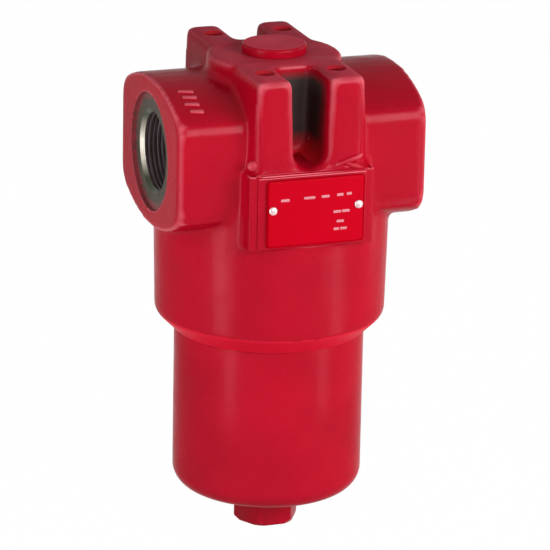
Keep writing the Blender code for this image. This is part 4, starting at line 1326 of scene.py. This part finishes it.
plate = brick("name_plate_sheet", plate_low, plate_high)
edit(plate)
bpy.ops.mesh.select_all(action="DESELECT")
bpy.ops.object.mode_set(mode="OBJECT")
for edge in plate.data.edges:
    ends = [plate.data.vertices[i].co for i in edge.vertices]
    edge.select = abs(ends[0].y - ends[1].y) > 0.5 * MM
pick(plate)
bpy.ops.object.mode_set(mode="EDIT")
bpy.ops.mesh.bevel(offset=PLATE_CORNER, segments=5, affect="EDGES")
bpy.ops.mesh.select_all(action="SELECT")
bpy.ops.mesh.bevel(offset=PLATE_RIM, segments=2, affect="EDGES")
bpy.ops.object.mode_set(mode="OBJECT")
finish(plate, plate_paint)
boolean(plate, [
    drill("plate_hole", RIVET_HOLE_R, (x, PLANER_Y, z), (x, PLATE_BACK_Y, z), 24)
    for x, z in RIVETS
], "DIFFERENCE")
smooth(plate, 40)
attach(plate, "head")
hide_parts("name_plate")
print("plate:", triangles(plate), "triangles")

# %% Plain fields on the plate
DASHES = [  # across, above the port axis and width, in millimetres
    (-14.8, -11.4, 4.6), (-2.1, -11.0, 6.0), (6.2, -10.9, 4.4), (13.9, -10.6, 3.6),
    (18.6, -10.4, 2.8), (12.5, -19.2, 4.2), (17.0, -19.1, 4.2), (14.2, -24.2, 4.0),
    (12.2, -28.1, 3.0), (16.0, -28.0, 3.6),
]
DASH_RISE = 0.10 * MM
DASH_SINK = 0.3 * MM
DASH_HALF = 0.75 * MM
DASH_ROUND = 0.35 * MM

dashes = []
for x, drop, width in DASHES:
    z = PORT_Z + drop * MM
    half = width / 2 * MM
    dashes.append(brick(
        "plate_dash", (x * MM - half, plate_low.y - DASH_RISE, z - DASH_HALF),
        (x * MM + half, plate_low.y + DASH_SINK, z + DASH_HALF), DASH_ROUND, 2))
pick(*dashes)
bpy.ops.object.join()
fields = bpy.context.object
fields.name = "plate_fields"
finish(fields, field_paint)
smooth(fields, 40)
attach(fields, "head")
print("fields on the plate:", len(DASHES))

# %% The drive rivets
RIVET_HEAD = 1.1 * MM
SHANK_TIP_R = 1.0 * MM
RIVET_SHANK_R = 1.2 * MM

for name in ("plate_rivet_left", "plate_rivet_right"):
    low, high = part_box(name)
    x, z = middle_of(name)
    head_r = (high.x - low.x) / 2
    tip = low.y - high.y + RIVET_HEAD
    outline = [(0.0, tip), (SHANK_TIP_R, tip), (RIVET_SHANK_R, tip + 0.5 * MM)]
    outline += [(RIVET_SHANK_R, 0.0), (head_r - 0.15 * MM, 0.0)]
    for degrees in range(10, 91, 10):
        angle = math.radians(degrees)
        outline.append((head_r * math.cos(angle), RIVET_HEAD * math.sin(angle)))
    rivet = turned(name + "_pin", outline, 40)
    rivet.rotation_euler = (math.pi / 2, 0.0, 0.0)
    rivet.location = (x, low.y + RIVET_HEAD, z)
    settle(rivet)
    finish(rivet, rivet_steel)
    smooth(rivet, 40)
    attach(rivet, "head")
    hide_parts(name)
print("rivets set")

# %% [markdown]
# ## Seals
#
# An O-ring is a circle turned about the axis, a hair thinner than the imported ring,
# so that it stays within that ring's place. The circle has twenty sides, enough to
# look round at this size. The flat backup ring under the bowl's seal isn't remade.

# %% Turn the seals
SEAL_SHARE = 0.995


def o_ring(node, body):
    """A round seal in the place of a packed ring."""
    low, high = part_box(node)
    section = (high.z - low.z) / 2
    middle = high.x - section
    outline = arc((middle, (low.z + high.z) / 2), section * SEAL_SHARE, 0, 360, 20)[:-1]
    ring = turned(node + "_seal", outline, 128)
    finish(ring, black_rubber)
    smooth(ring, 60)
    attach(ring, body)
    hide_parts(node)


o_ring("bowl_o_ring", "bowl")
o_ring("plug_seal_ring", "head")
o_ring("element_o_ring", "filter_element")
print("seals turned")

# %% [markdown]
# ## The pieces that stay as packed
#
# The element, the valve and the backup ring are already modelled finely enough for
# where they sit. They are not remade, and only get their finishes.

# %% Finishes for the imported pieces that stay
KEPT = {
    "bowl_backup_ring": backup_plastic,
    "element_upper_cap": zinc_steel,
    "element_lower_cap": zinc_steel,
    "element_outer_sleeve": zinc_steel,
    "element_core_tube": bright_steel,
    "element_pleats": medium,
    "element_spring": spring_steel,
    "bypass_seat": bright_steel,
    "bypass_poppet": bright_steel,
    "bypass_spring_retainer": bright_steel,
}
for node, look in KEPT.items():
    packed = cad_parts[node]
    for place in packed.material_slots:
        place.material = look
print("packed pieces finished:", len(KEPT))

# %% [markdown]
# ## The bypass spring
# When the valve lifts, its spring is squeezed between the fixed guide above and the
# collar on the stem. A copy of the imported coil, with its own mesh, stands for it.

coil = copy_of("bypass_spring", "bypass_coil")
finish(coil, spring_steel)
smooth(coil, 50)
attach(coil, "head")
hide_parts("bypass_spring")
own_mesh(coil)

# %% [markdown]
# ## The studio
#
# The background is white only to the camera and in reflections, and the floor keeps
# a soft shadow. The light on the filter comes from a dim sky and the lamps below,
# at a level where the paint shows about as bright as its colour was written.

# %% White for the camera, plain for the light
def whiten(tree, surface, white, plain):
    """Shows camera, mirror and glass rays white, and leaves the light on things plain."""
    path = tree.nodes.new("ShaderNodeLightPath")
    seen = path.outputs["Is Camera Ray"]
    for name in ("Is Glossy Ray", "Is Transmission Ray"):
        seen = add_math(tree, "MAXIMUM", seen, path.outputs[name])
    mix = tree.nodes.new("ShaderNodeMixShader")
    tree.links.new(seen, mix.inputs[0])
    tree.links.new(plain, mix.inputs[1])
    tree.links.new(white, mix.inputs[2])
    tree.links.new(mix.outputs[0], surface)


# %% The floor
FLOOR_SIZE = 60.0
FLOOR_GREY = (0.62, 0.62, 0.62, 1.0)
FLOOR_LIFT = 0.995

deselect()
bpy.ops.mesh.primitive_plane_add(size=FLOOR_SIZE)
floor = bpy.context.object
floor.name = "floor"
floor_paint = bpy.data.materials.new("floor_paint")
floor_paint.use_nodes = True
tree = floor_paint.node_tree
diffuse = tree.nodes["Principled BSDF"]
diffuse.inputs["Base Color"].default_value = FLOOR_GREY
diffuse.inputs["Roughness"].default_value = 0.9
glow = tree.nodes.new("ShaderNodeEmission")
glow.inputs["Strength"].default_value = 1.0
lifted = tree.nodes.new("ShaderNodeMixShader")
lifted.inputs[0].default_value = FLOOR_LIFT
tree.links.new(diffuse.outputs[0], lifted.inputs[1])
tree.links.new(glow.outputs[0], lifted.inputs[2])
whiten(tree, tree.nodes["Material Output"].inputs["Surface"], lifted.outputs[0], diffuse.outputs[0])
floor.data.materials.append(floor_paint)
print("floor laid:", FLOOR_SIZE, "m wide")

# %% The sky
SKY_COLOUR = (0.92, 0.96, 1.0, 1.0)
SKY_STRENGTH = 0.12

world = bpy.data.worlds.new("studio")
bpy.context.scene.world = world
world.use_nodes = True
tree = world.node_tree
plain = tree.nodes["Background"]
plain.inputs["Color"].default_value = SKY_COLOUR
plain.inputs["Strength"].default_value = SKY_STRENGTH
white = tree.nodes.new("ShaderNodeBackground")
white.inputs["Strength"].default_value = 1.0
whiten(tree, tree.nodes["World Output"].inputs["Surface"], white.outputs[0], plain.outputs[0])
bpy.context.scene.view_settings.view_transform = "Standard"
print("sky at", SKY_STRENGTH)

# %% [markdown]
# ## The lamps
#
# Tall soft boxes at the left, the right and the far edge give the soft upright
# streaks on the bowl, and a wide high one lights the block and draws its edges. Two
# small strips close to the bowl's foot lift its lower corner, as light from a pale
# table does.

# %% Six soft boxes
AIM = Vector((0.0, 0.0, 0.14))
LAMPS = [
    # name, azimuth and elevation in degrees, distance, (width, height), brightness
    ("left_softbox", -66, 12, 0.42, (0.13, 0.46), 4.6),
    ("right_softbox", 40, 12, 0.42, (0.13, 0.46), 2.5),
    ("edge_softbox", 96, 12, 0.42, (0.08, 0.46), 2.2),
    ("high_softbox", 20, 22, 1.1, (0.7, 0.40), 7.6),
    ("low_left_strip", -59, -22, 0.19, (0.036, 0.09), 2.3),
    ("low_right_strip", 42, -22, 0.19, (0.036, 0.09), 2.3),
]


def softbox(name, azimuth, elevation, distance, size, power):
    """A soft box of a brightness, at an azimuth from -Y towards +X, in degrees."""
    turn = math.radians(azimuth)
    rise = math.radians(elevation)
    level = math.cos(rise)
    out = Vector((math.sin(turn) * level, -math.cos(turn) * level, math.sin(rise)))
    place = AIM + out * distance
    facing = (-out).to_track_quat("-Z", "Y").to_euler()
    bpy.ops.object.light_add(type="AREA", location=place, rotation=facing)
    lamp = bpy.context.object
    lamp.name = name
    lamp.data.shape = "RECTANGLE"
    lamp.visible_camera = False
    lamp.data.size = size[0]
    lamp.data.size_y = size[1]
    lamp.data.energy = power * math.pi * size[0] * size[1]


for lamp_setting in LAMPS:
    softbox(*lamp_setting)
print("studio lit with", len(LAMPS), "lamps")

# %% [markdown]
# ## The end

# %% Finish
print("end of the script")
